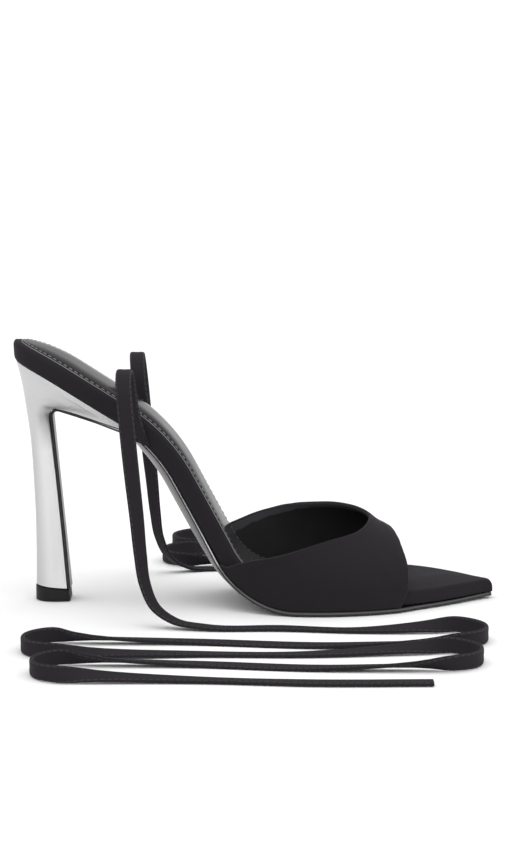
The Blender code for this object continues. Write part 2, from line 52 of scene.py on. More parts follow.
import bmesh
import bpy
from mathutils import Vector

MM = 0.001
scene = bpy.context.scene
print("tables are in millimetres, meshes in metres:", MM)

# %% [markdown]
# **Shader maths.** A finish is a small calculation: a thread's height is a sine, a row of stitches is a
# product of two stripes. Node trees hide such sums in wires, so a wire is wrapped in a class whose
# operators add the Math nodes. The reflected forms make `1 - mask` work as well as `mask - 1`. Every other
# node comes from `Board.node`, which sets the node's settings first, because they decide which sockets it
# has.

# %% A wire that can be calculated with
class Wire:
    def __init__(self, board, socket):
        self.board = board
        self.socket = socket

    def maths(self, operation, first, second=0.0):
        return self.board.node("ShaderNodeMath", {"operation": operation}, {0: first, 1: second})

    def __add__(self, other):
        return self.maths("ADD", self, other)

    def __sub__(self, other):
        return self.maths("SUBTRACT", self, other)

    def __rsub__(self, other):
        return self.maths("SUBTRACT", other, self)

    def __mul__(self, other):
        return self.maths("MULTIPLY", self, other)

    def __truediv__(self, other):
        return self.maths("DIVIDE", self, other)

    def __mod__(self, other):
        return self.maths("FLOORED_MODULO", self, other)

    def __lt__(self, other):
        return self.maths("LESS_THAN", self, other)

    def __abs__(self):
        return self.maths("ABSOLUTE", self)

    def sine(self):
        return self.maths("SINE", self)

    def at_least(self, other):
        return self.maths("MAXIMUM", self, other)

    __radd__ = __add__
    __rmul__ = __mul__


known = [name.strip("_") for name, made in vars(Wire).items() if callable(made)]
print("a wire knows:", ", ".join(known))

# %% A board that nodes are put on
class Board:
    def __init__(self, tree):
        self.tree = tree

    def node(self, kind, settings=None, values=None, out=0):
        made = self.tree.nodes.new(kind)
        for name, value in (settings or {}).items():
            setattr(made, name, value)
        for name, value in (values or {}).items():
            self.feed(made.inputs[name], value)
        if isinstance(out, tuple):
            return tuple(Wire(self, made.outputs[name]) for name in out)
        return Wire(self, made.outputs[out])

    def feed(self, socket, value):
        if isinstance(value, Wire):
            self.tree.links.new(value.socket, socket)
        else:
            socket.default_value = value

    def mix(self, factor, first, second):
        return self.node("ShaderNodeMix", {"data_type": "RGBA"}, {0: factor, 6: first, 7: second}, out=2)


class Finish(Board):
    def __init__(self, name):
        self.material = bpy.data.materials.new(name)
        self.material.use_nodes = True
        super().__init__(self.material.node_tree)
        self.shader = self.tree.nodes["Principled BSDF"]

    def surface(self, values):
        for name, value in values.items():
            self.feed(self.shader.inputs[name], value)
        return self.material

    def noise(self, size, detail=2.0, stretch=(1.0, 1.0, 1.0)):
        """Cloudy noise whose blotches are about `size` millimetres, in the shoe's own space."""
        place = self.node("ShaderNodeTexCoord", out="Object")
        scaled = self.node("ShaderNodeVectorMath", {"operation": "MULTIPLY"}, {0: place, 1: stretch})
        values = {"Vector": scaled, "Scale": 1.0 / (size * MM), "Detail": detail}
        return self.node("ShaderNodeTexNoise", {}, values)

    def bump(self, height, depth):
        """A bump whose full height is `depth` millimetres."""
        return self.node("ShaderNodeBump", {}, {"Height": height, "Distance": depth * MM, "Strength": 1.0})


print("finishes are built with Finish.node, Finish.mix, Finish.noise and Finish.bump")

# %% [markdown]
# **Camera.** The picture was taken almost level with the shoe from its outer side, with a long lens. Its
# place was found from the heel and toe, which stand on one plane: about a metre away, a little above the
# heel, looking down eight degrees. A long lens keeps the two ends of the shoe the same size.

# %% Camera
LENS, CAMERA_BACK, CAMERA_UP, CAMERA_PITCH = 99.58, 1.03, 0.22, 81.93
lens = bpy.data.cameras.new("camera")
lens.sensor_width = 36.0
lens.lens = LENS
camera = bpy.data.objects.new("camera", lens)
camera.location = (0.0, -CAMERA_BACK, CAMERA_UP)
camera.rotation_euler = (math.radians(CAMERA_PITCH), 0.0, 0.0)
scene.collection.objects.link(camera)
scene.camera = camera
print("camera", tuple(round(c, 3) for c in camera.location), "lens", lens.lens)

# %% [markdown]
# **Floor and light.** A catalogue picture stands on white with white all round, so the light is mostly the
# room itself: a white world, brighter overhead, a little dimmer on the left to give the silver a soft
# gradient, and dimmer behind the shoe apart from a haze along the horizon, so that the glossy sock isn't
# washed out. Small lamps would draw hard highlights on satin, so the one lamp is a large soft panel
# overhead, just strong enough to press a shadow under the sole. The floor is a plain pale sheet. The
# Standard view keeps white paper white.

# %% Floor and light
ROOM_GLOW, RIGHT_GLOW, OVERHEAD_GLOW = 0.80, 0.20, 0.50
HAZE_GLOW, HAZE_FALL, BEHIND_DIM = 1.05, 5.0, 0.28
FLOOR_REACH, FLOOR_DROP = 8.0, 0.0001
scene.view_settings.view_transform = "Standard"
room = bpy.data.worlds.new("white_room")
room.use_nodes = True
scene.world = room
sky = Board(room.node_tree)
facing = sky.node("ShaderNodeTexCoord", out="Generated")
right, away, up = sky.node("ShaderNodeSeparateXYZ", {}, {0: facing}, out=("X", "Y", "Z"))
haze = (1.0 - HAZE_FALL * abs(up)).at_least(0.0)
behind = away.at_least(0.0) * (HAZE_GLOW * haze - BEHIND_DIM)
glow = ROOM_GLOW + RIGHT_GLOW * right + OVERHEAD_GLOW * up.at_least(0.0) + behind
sky.feed(room.node_tree.nodes["Background"].inputs["Strength"], glow)
room.node_tree.nodes["Background"].inputs["Color"].default_value = (1.0, 1.0, 1.0, 1.0)


def soft_panel(name, place, aim, size, watts):
    lamp = bpy.data.lights.new(name, "AREA")
    lamp.shape = "RECTANGLE"
    lamp.size, lamp.size_y = size
    lamp.energy = watts
    panel = bpy.data.objects.new(name, lamp)
    panel.location = place
    panel.rotation_euler = (Vector(aim) - Vector(place)).to_track_quat("-Z", "Y").to_euler()
    scene.collection.objects.link(panel)


soft_panel("top_panel", place=(-0.25, -0.15, 1.3), aim=(0.0, 0.0, 0.03), size=(1.2, 0.9), watts=2.6)

sheet = bpy.data.meshes.new("floor")
quarters = ((-1, -1), (1, -1), (1, 1), (-1, 1))
corners = [(FLOOR_REACH * x, FLOOR_REACH * y, -FLOOR_DROP) for x, y in quarters]
sheet.from_pydata(corners, [], [(0, 1, 2, 3)])
floor = bpy.data.objects.new("floor", sheet)
scene.collection.objects.link(floor)
paper = Finish("pale_paper")
pale = (0.96, 0.96, 0.96, 1.0)
sheet.materials.append(paper.surface({"Base Color": pale, "Roughness": 0.9, "Specular IOR Level": 0.05}))
print("floor", FLOOR_REACH * 2, "m square, lamps:", [o.name for o in scene.objects if o.type == "LIGHT"])

# %% [markdown]
# **The last, in side view.** A shoe is built on a last, and one line rules it: the lower edge of the
# insole, drawn from the toe to the back of the heel with a few lines and arcs. It could be a Bezier curve,
# but arcs with named radii say what a maker would say: a flat tread, a ball radius, a straight steep shank,
# a waist and a dished seat. The sole follows the same line and then leaves it, to run under the wedge of
# the heel and down its breast.

# %% Lines and arcs
GAP = 0.3
TOE_X, TREAD_TOP, TOE_SPRING, TOE_REACH = 105.6, 2.3, 0.7, 25.7
TREAD_LENGTH, BALL_RADIUS = 62.0, 38.0
SHANK_SLOPE, SHANK_LENGTH = 61.5, 36.9
WAIST_RADIUS, SEAT_SLOPE, SEAT_LENGTH = 72.0, 32.4, 27.0
SEAT_DISH_RADIUS, SEAT_DISH_TURN, SEAT_ROUND = 115.0, 13.3, 26.0
Move = namedtuple("Move", "length turn")


def arc(radius, turn):
    return Move(radius * math.radians(abs(turn)), turn)


class SideLine:
    """A line in the side view, which gives a point and its upward normal at any run from the toe."""

    def __init__(self, extra, moves, step=0.4):
        radius = TOE_REACH**2 / TOE_SPRING / 2
        lift = math.degrees((TOE_REACH + extra) / radius)
        front = [arc(radius, -lift), Move(TREAD_LENGTH, 0.0)]
        front += [arc(BALL_RADIUS, -SHANK_SLOPE), Move(SHANK_LENGTH, 0.0)]
        x, heading, run = TOE_X + extra, math.radians(180.0 + lift), 0.0
        z = TREAD_TOP + radius * (1.0 - math.cos(math.radians(lift)))
        self.runs, self.spots = [run], [(x, z, heading)]
        for move in front + moves:
            count = max(1, math.ceil(move.length / step))
            length, turn = move.length / count, math.radians(move.turn) / count
            for _ in range(count):
                x += length * math.cos(heading + turn / 2)
                z += length * math.sin(heading + turn / 2)
                heading += turn
                run += length
                self.runs.append(run)
                self.spots.append((x, z, heading))
        self.length = run

    def at(self, run):
        run = min(max(run, 0.0), self.length)
        i = min(bisect_right(self.runs, run), len(self.runs) - 1)
        t = (run - self.runs[i - 1]) / (self.runs[i] - self.runs[i - 1])
        x, z, heading = (a + (b - a) * t for a, b in zip(self.spots[i - 1], self.spots[i]))
        return x, z, math.sin(heading), -math.cos(heading)

    def point(self, run, y, up):
        x, z, nx, nz = self.at(run)
        return Vector((x + nx * up, y, z + nz * up))


seat_moves = [Move(SEAT_LENGTH, 0.0), arc(SEAT_DISH_RADIUS, SEAT_DISH_TURN)]
FEATHER = SideLine(0.0, [arc(WAIST_RADIUS, SHANK_SLOPE - SEAT_SLOPE)] + seat_moves)
RUN = FEATHER.length
print("the insole's edge runs", round(RUN, 1), "mm from toe to heel")

# %% [markdown]
# **The last, in plan.** The outline is a short table of half widths along the middle line. Between its rows
# a monotone cubic is used: a plain spline would bulge past the rows where the outline turns, and a straight
# line would leave corners.

# %% Outline of the insole
Plan = namedtuple("Plan", "x lateral medial")
PLAN = [
    Plan(-83.0, 22.5, 24.5),
    Plan(-68.0, 22.3, 24.0),
    Plan(-54.0, 21.0, 22.2),
    Plan(-42.0, 20.0, 20.0),
    Plan(-30.0, 19.6, 18.8),
    Plan(-20.0, 20.4, 19.2),
    Plan(-10.0, 23.6, 21.2),
    Plan(0.0, 28.3, 24.9),
    Plan(10.0, 32.8, 29.2),
    Plan(20.0, 35.3, 32.9),
    Plan(30.0, 35.6, 35.2),
    Plan(40.0, 34.6, 35.7),
    Plan(50.0, 32.5, 34.9),
    Plan(60.0, 28.8, 32.9),
    Plan(70.0, 23.6, 29.2),
    Plan(80.0, 17.1, 23.6),
    Plan(90.0, 9.8, 16.6),
    Plan(98.0, 3.3, 9.9),
    Plan(102.5, 0.0, 6.2),
    Plan(106.2, -1.6, 4.6),
]
INSET_FADE = 6.5


def smooth(rows, key, value):
    """A function through one column of a table, without overshoot between its rows."""
    xs = [getattr(row, key) for row in rows]
    ys = [getattr(row, value) for row in rows]
    steps = [b - a for a, b in zip(xs, xs[1:])]
    slopes = [(b - a) / h for a, b, h in zip(ys, ys[1:], steps)]
    inner = [0.0 if a * b <= 0.0 else 2.0 * a * b / (a + b) for a, b in zip(slopes, slopes[1:])]
    tangents = [slopes[0]] + inner + [slopes[-1]]

    def at(x):
        x = min(max(x, xs[0]), xs[-1])
        i = min(bisect_right(xs, x), len(xs) - 1) - 1
        t = (x - xs[i]) / steps[i]
        pull = steps[i] * t * (1.0 - t) * ((1.0 - t) * tangents[i] - t * tangents[i + 1])
        return ys[i] + (ys[i + 1] - ys[i]) * t * t * (3.0 - 2.0 * t) + pull

    return at


lateral_at = smooth(PLAN, "x", "lateral")
medial_at = smooth(PLAN, "x", "medial")


def sides(run, inset=0.0):
    """Outer and inner edge (y) of the insole, less an inset, at a run from its toe."""
    x = FEATHER.at(run)[0]
    middle = (medial_at(x) - lateral_at(x)) / 2
    half = (medial_at(x) + lateral_at(x)) / 2
    half -= inset * min(1.0, half / INSET_FADE)
    left = (RUN - run - inset) / SEAT_ROUND
    if left < 1.0:
        half *= math.sqrt(max(1.0 - (1.0 - left) ** 2, 0.0))
    return middle - half, middle + half


widest = max(row.lateral + row.medial for row in PLAN)
print("widest", round(widest, 1), "mm, heel seat", PLAN[0].lateral + PLAN[0].medial, "mm")

# %% [markdown]
# **Skins.** Two kinds of surface make the whole shoe. A *skin* runs through closed rings, for the sole,
# heel, top piece, strap and ties. A *wrapped board* has rings that follow the outline, so that its edge is
# rounded all the way round the heel and the toe, and a top laid across the last ring. Both carry a map
# called cloth, in millimetres along and across, so that threads and stitches keep their size on every
# piece.

# %% Rings into meshes
def link_piece(name, bm, finishes, sharp):
    bmesh.ops.recalc_face_normals(bm, faces=bm.faces)
    mesh = bpy.data.meshes.new(name)
    bm.to_mesh(mesh)
    bm.free()
    mesh.shade_smooth()
    mesh.set_sharp_from_angle(angle=math.radians(sharp))
    for finish in finishes:
        mesh.materials.append(finish)
    piece = bpy.data.objects.new(name, mesh)
    scene.collection.objects.link(piece)
    print(name, len(mesh.vertices), "vertices", len(mesh.polygons), "faces")
    return piece


def face(bm, corners, spots=None, finish=0):
    corners = list(dict.fromkeys(corners))
    if len(corners) < 3:
        return
    made = bm.faces.new(corners)
    made.material_index = finish
    for corner, spot in zip(made.loops, spots or ()):
        corner[bm.loops.layers.uv.active].uv = spot


def skin(name, rings, runs, finishes, sharp=35.0, finish_at=lambda k, i: 0):
    bm = bmesh.new()
    bm.loops.layers.uv.new("cloth")
    loops = [[bm.verts.new(point * MM) for point in ring] for ring in rings]
    rounds = []
    for ring in rings:
        lengths = [(b - a).length for a, b in zip(ring, ring[1:] + ring[:1])]
        rounds.append(list(accumulate(lengths, initial=0.0)))
    count = len(rings[0])
    for k in range(len(rings) - 1):
        a, b = loops[k], loops[k + 1]
        for i in range(count):
            j = (i + 1) % count
            spots = [(runs[k], rounds[k][i]), (runs[k], rounds[k][i + 1])]
            spots += [(runs[k + 1], rounds[k + 1][i + 1]), (runs[k + 1], rounds[k + 1][i])]
            face(bm, (a[i], a[j], b[j], b[i]), spots, finish_at(k, i))
    for end, run in ((loops[0], runs[0]), (loops[-1], runs[-1])):
        last = count - 1
        for i in range(count // 2):
            four = (end[i], end[i + 1], end[last - i - 1], end[last - i])
            spots = [(run, i), (run, i + 1), (run + 1, i + 1), (run + 1, i)]
            face(bm, four, spots, finish_at(0, i))
    return link_piece(name, bm, finishes, sharp)


NOSE_STEPS = (0.0, 0.12, 0.35, 0.7, 1.2, 1.8, 2.6, 3.8, 5.4, 7.5, 10.0, 13.0)
EVEN_STEPS = 110


def stations(front, inset):
    """Runs from the front to the heel, closer together where the outline rounds off."""
    runs = [front + step for step in NOSE_STEPS]
    even = RUN - SEAT_ROUND - runs[-1]
    runs += [runs[-1] + even * (i + 1) / EVEN_STEPS for i in range(EVEN_STEPS)]
    rest = SEAT_ROUND - inset
    return runs + [RUN - inset - rest * (1.0 - math.sin(math.radians(a))) for a in range(6, 90, 6)]


Edge = namedtuple("Edge", "run low high low_up high_up")


def wrapped_board(name, rings, top_at, across, finishes, edge_bands=0, place=FEATHER.point, sharp=40.0):
    """Rings of Edge rows from the lower edge up, then a top laid across the last ring.

    The first few bands may show a cut edge, in the second finish."""
    bm = bmesh.new()
    bm.loops.layers.uv.new("cloth")
    loops, maps, travelled, before = [], [], 0.0, None
    for rows in rings:
        low = [bm.verts.new(place(row.run, row.low, row.low_up) * MM) for row in rows]
        high = [bm.verts.new(place(row.run, row.high, row.high_up) * MM) for row in rows]
        middle = rows[len(rows) // 2]
        if before:
            travelled += math.hypot(middle.low - before.low, middle.low_up - before.low_up)
        before = middle
        runs = [row.run for row in rows]
        loops.append(low + high[::-1])
        maps.append([(run, travelled) for run in runs + runs[::-1]])
    for band, (a, b, map_a, map_b) in enumerate(zip(loops, loops[1:], maps, maps[1:])):
        for i in range(len(a)):
            j = (i + 1) % len(a)
            spots = (map_a[i], map_a[j], map_b[j], map_b[i])
            face(bm, (a[i], a[j], b[j], b[i]), spots, 1 if band < edge_bands else 0)
    base, last = loops[0], len(loops[0]) - 1
    for i in range(len(base) // 2 - 1):
        face(bm, (base[i], base[i + 1], base[last - i - 1], base[last - i]))
    grid, spots = [], []
    for i, row in enumerate(rings[-1]):
        ys = [row.low + (row.high - row.low) * k / across for k in range(across + 1)]
        inner = [bm.verts.new(place(row.run, y, top_at(row.run, y)) * MM) for y in ys[1:-1]]
        grid.append([loops[-1][i]] + inner + [loops[-1][last - i]])
        spots.append([(row.run, y) for y in ys])
    for i in range(len(grid) - 1):
        for k in range(across):
            places = ((i, k), (i + 1, k), (i + 1, k + 1), (i, k + 1))
            face(bm, [grid[m][n] for m, n in places], [spots[m][n] for m, n in places])
    return link_piece(name, bm, finishes, sharp)


def dress(piece, slot, *nodes):
    """The piece moves with the shoe and stands for the named solids. Its slot is not used."""
    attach(piece, "root")
    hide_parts(*nodes)


print("meshes are made by skin() and wrapped_board()")

# %% [markdown]
# **Black satin.** The strap, the edge of the insole and the ties are a dull black satin: long warp threads
# float over the surface, so it shines softly along them, and a fine cross thread ties them down. Cloth
# could be a flat black, but it is the threads and a faint unevenness that keep a black shape from looking
# like a hole. Threads are two sines over the cloth map, and a cloudy noise shifts colour and roughness a
# little. Sheen is one number for the whole cloth, so it is set on the shader's own socket.

# %% Satin
WARP_PITCH, WEFT_PITCH = 0.34, 0.55
TIE_STITCH_PITCH, TIE_STITCH_LENGTH, TIE_STITCH_HALF = 2.6, 1.9, 0.32
LINE_SINK, THREAD_RISE = 1.3, 1.9


def satin(name, colour, roughness, stitch_rows=()):
    cloth = Finish(name)
    place = cloth.node("ShaderNodeUVMap", {"uv_map": "cloth"})
    along, across = cloth.node("ShaderNodeSeparateXYZ", {}, {0: place}, out=("X", "Y"))
    warp = (across * (2 * math.pi / WARP_PITCH)).sine()
    weft = (along * (2 * math.pi / WEFT_PITCH)).sine()
    cloud = cloth.noise(5.0, 3.0)
    slub = cloth.noise(0.9, 1.0)
    height = 0.5 + 0.28 * warp * (0.7 + 0.3 * weft) + 0.22 * slub
    tone = 0.86 + 0.16 * cloud + 0.12 * slub
    thread = 0.0
    for row in stitch_rows:
        line = abs(across - row) < TIE_STITCH_HALF
        stitch = line * ((along % TIE_STITCH_PITCH) < TIE_STITCH_LENGTH)
        thread = stitch + thread
        height = height - LINE_SINK * line + THREAD_RISE * stitch
    dark = tuple(c * 0.72 for c in colour)
    base = cloth.mix(tone - 0.35, (*dark, 1.0), (*colour, 1.0))
    if stitch_rows:
        base = cloth.mix(thread * 0.75, base, (0.050, 0.047, 0.053, 1.0))
    return cloth.surface({
        "Base Color": base,
        "Roughness": roughness + 0.10 * cloud - 0.05 * warp,
        "Normal": cloth.bump(height, 0.05),
        "Specular IOR Level": 0.05,
        "Sheen Weight": 0.02,
        "Sheen Roughness": 0.4,
        "Sheen Tint": (0.80, 0.74, 0.84, 1.0),
    })


strap_satin = satin("strap_satin", (0.0225, 0.0200, 0.0230), 0.62)
# The fold and the hem are painted lighter than the strap, as painted highlights along the folded edges.
fold_satin = satin("fold_satin", (0.0300, 0.0275, 0.0310), 0.58)
hem_satin = satin("hem_satin", (0.0750, 0.0700, 0.0770), 0.58)
edge_satin = satin("edge_satin", (0.0225, 0.0200, 0.0235), 0.60)
print("satin threads", WARP_PITCH, "mm apart")

# %% [markdown]
# **Insole.** A stiffened board, thicker at the heel than at the toe, wrapped in satin. Its edge shows all
# round, and at the open toe its top shows too. It is a wrapped board: a small radius below, an upright side
# that bows out a little over its padding, and a larger radius where the satin turns over the top. At the
# toe the top leans down to the outer edge and meets it in a soft ridge, and behind the heel the end leans
# back as it rises.

# %% Insole
INSOLE_HEEL, INSOLE_TOE, INSOLE_TAPER, INSOLE_NOSE = 8.0, 5.2, 32.0, 2.6
ROLL, ROLL_FALL, ROLL_FOOT = 2.4, 2.6, 5.1
TOE_ROLL_OUTER, TOE_ROLL_INNER, TOE_FALL_OUTER = 1.6, 5.4, 1.0
TOE_EDGE_END, TOE_EDGE_FADE, NOSE_INSET = 70.0, 30.0, 0.3
TOE_CANT, TOE_CANT_WIDTH, CANT_SHARE, CANT_POWER = 2.0, 20.0, 0.6, 1.6
CANT_FULL, CANT_END, CANT_FADE = 26.0, 57.0, 12.0
HEEL_ROLL, HEEL_LEAN, HEEL_LEAN_REACH, HEEL_LEAN_FOOT = 1.5, 3.4, 16.0, 0.45


def insole_thick(run):
    """The board thins out towards the toe, and its nose is rounded."""
    thin = max(1.0 - run / INSOLE_TAPER, 0.0)
    thick = INSOLE_HEEL - (INSOLE_HEEL - INSOLE_TOE) * thin * thin
    nose = min(max(1.0 - run / INSOLE_NOSE, 0.0), 1.0)
    return thick - INSOLE_NOSE * (1.0 - math.sqrt(1.0 - nose * nose))


def cant(run, distance):
    """How far the top leans down towards the outer edge of the open toe."""
    low, high = sides(run)
    depth = TOE_CANT * min(run / CANT_FULL, 1.0) * min(max((CANT_END - run) / CANT_FADE, 0.0), 1.0)
    if not depth:
        return 0.0
    width = min(TOE_CANT_WIDTH, CANT_SHARE * (high - low))
    return depth * max(1.0 - distance / width, 0.0) ** CANT_POWER


def upright_ring(inset, height):
    rows = []
    for run in stations(max(inset, 0.0) * NOSE_INSET, max(inset, 0.0)):
        rows.append(Edge(run, *sides(run, inset), height, height))
    return rows


def rolled_ring(angle):
    """A ring part of the way over the soft edge: at the open toe sharper outside and wider inside."""
    turn, rows = math.radians(angle), []
    inward, drop = 1.0 - math.cos(turn), 1.0 - math.sin(turn)
    for run in stations(0.0, HEEL_ROLL * inward):
        thick = insole_thick(run)
        toe = min(max((TOE_EDGE_END - run) / TOE_EDGE_FADE, 0.0), 1.0)
        outer_in = (ROLL + (TOE_ROLL_OUTER - ROLL) * toe) * inward
        inner_in = (ROLL + (TOE_ROLL_INNER - ROLL) * toe) * inward
        fall = min(max(thick - ROLL_FOOT, 1.0), ROLL_FALL)
        outer_fall = min(fall, ROLL_FALL + (TOE_FALL_OUTER - ROLL_FALL) * toe)
        low, high = sides(run, outer_in)[0], sides(run, inner_in)[1]
        low_up = thick - outer_fall * drop - cant(run, outer_in)
        rows.append(Edge(run, low, high, low_up, thick - fall * drop))
    return rows


def insole_top(run, y):
    return insole_thick(run) - cant(run, y - sides(run)[0])


def leaning(run, y, up):
    """A point of the board, whose end behind the heel leans back as it rises."""
    late = min(max(1.0 - (RUN - run) / HEEL_LEAN_REACH, 0.0), 1.0)
    nx, nz = FEATHER.at(run)[2:]
    back = HEEL_LEAN * late * late * (up / INSOLE_HEEL - HEEL_LEAN_FOOT)
    return FEATHER.point(run, y, up) + Vector((-nz, 0.0, nx)) * back


lower_edge = ((1.0, 0.0), (0.45, 0.15), (0.12, 0.5), (0.0, 1.0), (-0.05, 1.35))
insole_rings = [upright_ring(inset, up) for inset, up in lower_edge]
insole_rings += [rolled_ring(angle) for angle in (0.0, 15.0, 30.0, 45.0, 60.0, 75.0, 90.0)]
insole = wrapped_board("insole_rand", insole_rings, insole_top, 24, [edge_satin], place=leaning)
dress(insole, "satin", "insole")

# %% [markdown]
# ** Sock.** The lining that the foot stands on is a smooth black leather, glued over a thin foam and
# stitched close to its edge. The pad is level along the middle, which mirrors the bright room, and falls to
# the edge, which stays dark, and a groove runs where the stitches pull the leather down. The grain is a
# fine cell pattern in the shoe's own space, because leather has no threads to follow. Under the strap,
# where little light comes in, the leather is painted paler, as painted light.

# %% Sock leather
BALL_SHADING_FROM, BALL_SHADING_FADE, GRAIN_CELL = -19.0, 14.0, 0.75


def leather(name, colour, roughness, grain, gloss, coat, painted_shading_at_ball=None):
    hide = Finish(name)
    place = hide.node("ShaderNodeTexCoord", out="Object")
    values = {"Vector": place, "Scale": 1.0 / (GRAIN_CELL * MM)}
    cells = hide.node("ShaderNodeTexVoronoi", {"feature": "SMOOTH_F1"}, values)
    cloud = hide.noise(7.0, 3.0)
    fine = hide.noise(0.4, 2.0)
    dark = tuple(c * 0.7 for c in colour)
    shade = hide.mix(cloud, (*dark, 1.0), (*colour, 1.0))
    # Towards the ball the colour fades to a painted shading: painted light on the sock, painted shade on
    # its thread.
    if painted_shading_at_ball:
        forward = hide.node("ShaderNodeSeparateXYZ", {}, {0: place}, out="X")
        shade = hide.mix((forward - BALL_SHADING_FROM * MM) / (BALL_SHADING_FADE * MM), shade, (*painted_shading_at_ball, 1.0))
    return hide.surface({
        "Base Color": shade,
        "Roughness": roughness + 0.10 * (cloud - 0.5) + 0.06 * fine,
        "Normal": hide.bump(0.8 * cells + 0.2 * fine, grain),
        "Specular IOR Level": gloss,
        "Coat Weight": coat,
        "Coat Roughness": 0.20,
    })


# Under the strap the sock is painted paler towards the ball, as painted light.
sock_leather = leather("sock_leather", (0.0180, 0.0178, 0.0185), 0.13, 0.006, 0.012, 0.0,
                       painted_shading_at_ball=(0.036, 0.036, 0.038))
cut_leather = leather("cut_leather", (0.280, 0.277, 0.283), 0.55, 0.030, 0.10, 0.0)
lining_leather = leather("lining_leather", (0.0250, 0.0250, 0.0262), 0.42, 0.030, 0.20, 0.05)
print("grain cells", GRAIN_CELL, "mm")

# %% Sock
SOCK_INSET, SOCK_FRONT, SOCK_ROUND = 1.7, 57.2, 16.0
SOCK_PAD, SOCK_PAD_END, STITCH_IN = 1.4, 22.0, 1.2
PAD_THIN, PAD_THIN_TO, PAD_FULL_FROM = 0.35, 118.0, 195.0
SOCK_LIFT, SOCK_LIP, SOCK_LIP_REACH, GROOVE, GROOVE_WIDTH = 0.15, 0.34, 0.5, 0.20, 0.45
SOCK_NOSE, SOCK_FOOT, SOCK_NARROWEST, PAST_GROOVE = 0.15, 0.02, 0.2, 9.0


def sock_sides(run, inset):
    low, high = sides(run, SOCK_INSET + inset)
    left = (run - SOCK_FRONT - inset) / SOCK_ROUND
    if left < 1.0:
        middle, shrink = (low + high) / 2, math.sqrt(max(1.0 - (1.0 - left) ** 2, 0.0))
        low, high = middle + (low - middle) * shrink, middle + (high - middle) * shrink
    return low, high


def crown(run, y):
    """Swell of the padded lining: nearly level along the middle, and falling away to every edge."""
    low, high = sock_sides(run, 0.0)
    across = min(abs(2.0 * y - low - high) / max(high - low, SOCK_NARROWEST), 1.0)
    end = min(max(1.0 - min(RUN - SOCK_INSET - run, run - SOCK_FRONT) / SOCK_PAD_END, 0.0), 1.0)
    full = min(max((run - PAD_THIN_TO) / (PAD_FULL_FROM - PAD_THIN_TO), 0.0), 1.0)
    swell = PAD_THIN + (SOCK_PAD - PAD_THIN) * full * full * (3.0 - 2.0 * full)
    return swell * (1.0 - across**4) * (1.0 - end * end)


def sock_up(run, y, near):
    """Height of the lining over the lower edge of the insole, at a distance in from its own edge."""
    lip = SOCK_LIP * min(near / SOCK_LIP_REACH, 1.0) ** 0.5
    groove = GROOVE * math.exp(-(((near - STITCH_IN) / GROOVE_WIDTH) ** 2))
    return insole_thick(run) + SOCK_LIFT + lip + crown(run, y) - groove


def sock_ring(inset):
    rows = []
    for run in stations(SOCK_FRONT + inset + SOCK_NOSE, SOCK_INSET + inset):
        low, high = sock_sides(run, inset)
        rows.append(Edge(run, low, high, sock_up(run, low, inset), sock_up(run, high, inset)))
    return rows


def sock_top(run, y):
    return sock_up(run, y, PAST_GROOVE)


sock_foot = [row._replace(low_up=insole_thick(row.run) + SOCK_FOOT) for row in sock_ring(0.0)]
sock_foot = [row._replace(high_up=row.low_up) for row in sock_foot]
inward = (0.0, 0.12, 0.3, 0.5, 0.7, 0.9, 1.05, 1.2, 1.35, 1.5, 1.75, 2.1, 2.8, 4.0, 5.6, 8.0)
sock_rings = [sock_foot] + [sock_ring(distance) for distance in inward]
sock = wrapped_board("sock_lining", sock_rings, sock_top, 20, [sock_leather, cut_leather], 2)
dress(sock, "sock_leather", "sock")

# %% [markdown]
# **Stitches.** A row of thread runs round the sock, each stitch a short bead that sinks at both ends. They
# could be painted in the finish, but they catch the light as solid things, so each is a small six-sided
# bead, all joined in one mesh.

# %% Stitches of the sock
def walk(points, pitch):
    """Places and directions at even distances along a line of points."""
    lengths = [0.0] + list(accumulate((b - a).length for a, b in zip(points, points[1:])))
    made, i = [], 1
    for n in range(int(lengths[-1] / pitch)):
        goal = (n + 0.5) * pitch
        while lengths[i] < goal:
            i += 1
        t = (goal - lengths[i - 1]) / (lengths[i] - lengths[i - 1])
        made.append((points[i - 1].lerp(points[i], t), (points[i] - points[i - 1]).normalized()))
    return made


Part = namedtuple("Part", "along swell sink")
BEAD = [Part(-0.5, 0.35, 0.7), Part(-0.32, 0.85, 0.15), Part(0.0, 1.0, 0.0)]
BEAD += [part._replace(along=-part.along) for part in reversed(BEAD[:2])]
BEAD_SIDES = 6


def beads(name, places, length, radius, finish):
    bm = bmesh.new()
    bm.loops.layers.uv.new("cloth")
    for centre, ahead, normal in places:
        side = ahead.cross(normal)
        rings = []
        for part in BEAD:
            spot = centre + ahead * (part.along * length) - normal * (part.sink * radius)
            ring = []
            for k in range(BEAD_SIDES):
                angle = math.radians(360.0 / BEAD_SIDES * k)
                out = side * math.cos(angle) + normal * math.sin(angle)
                ring.append(bm.verts.new((spot + out * (radius * part.swell)) * MM))
            rings.append(ring)
        for a, b in zip(rings, rings[1:]):
            for k in range(BEAD_SIDES):
                after = (k + 1) % BEAD_SIDES
                face(bm, (a[k], a[after], b[after], b[k]))
        face(bm, rings[0][::-1])
        face(bm, rings[-1])
    return link_piece(name, bm, [finish], 60.0)


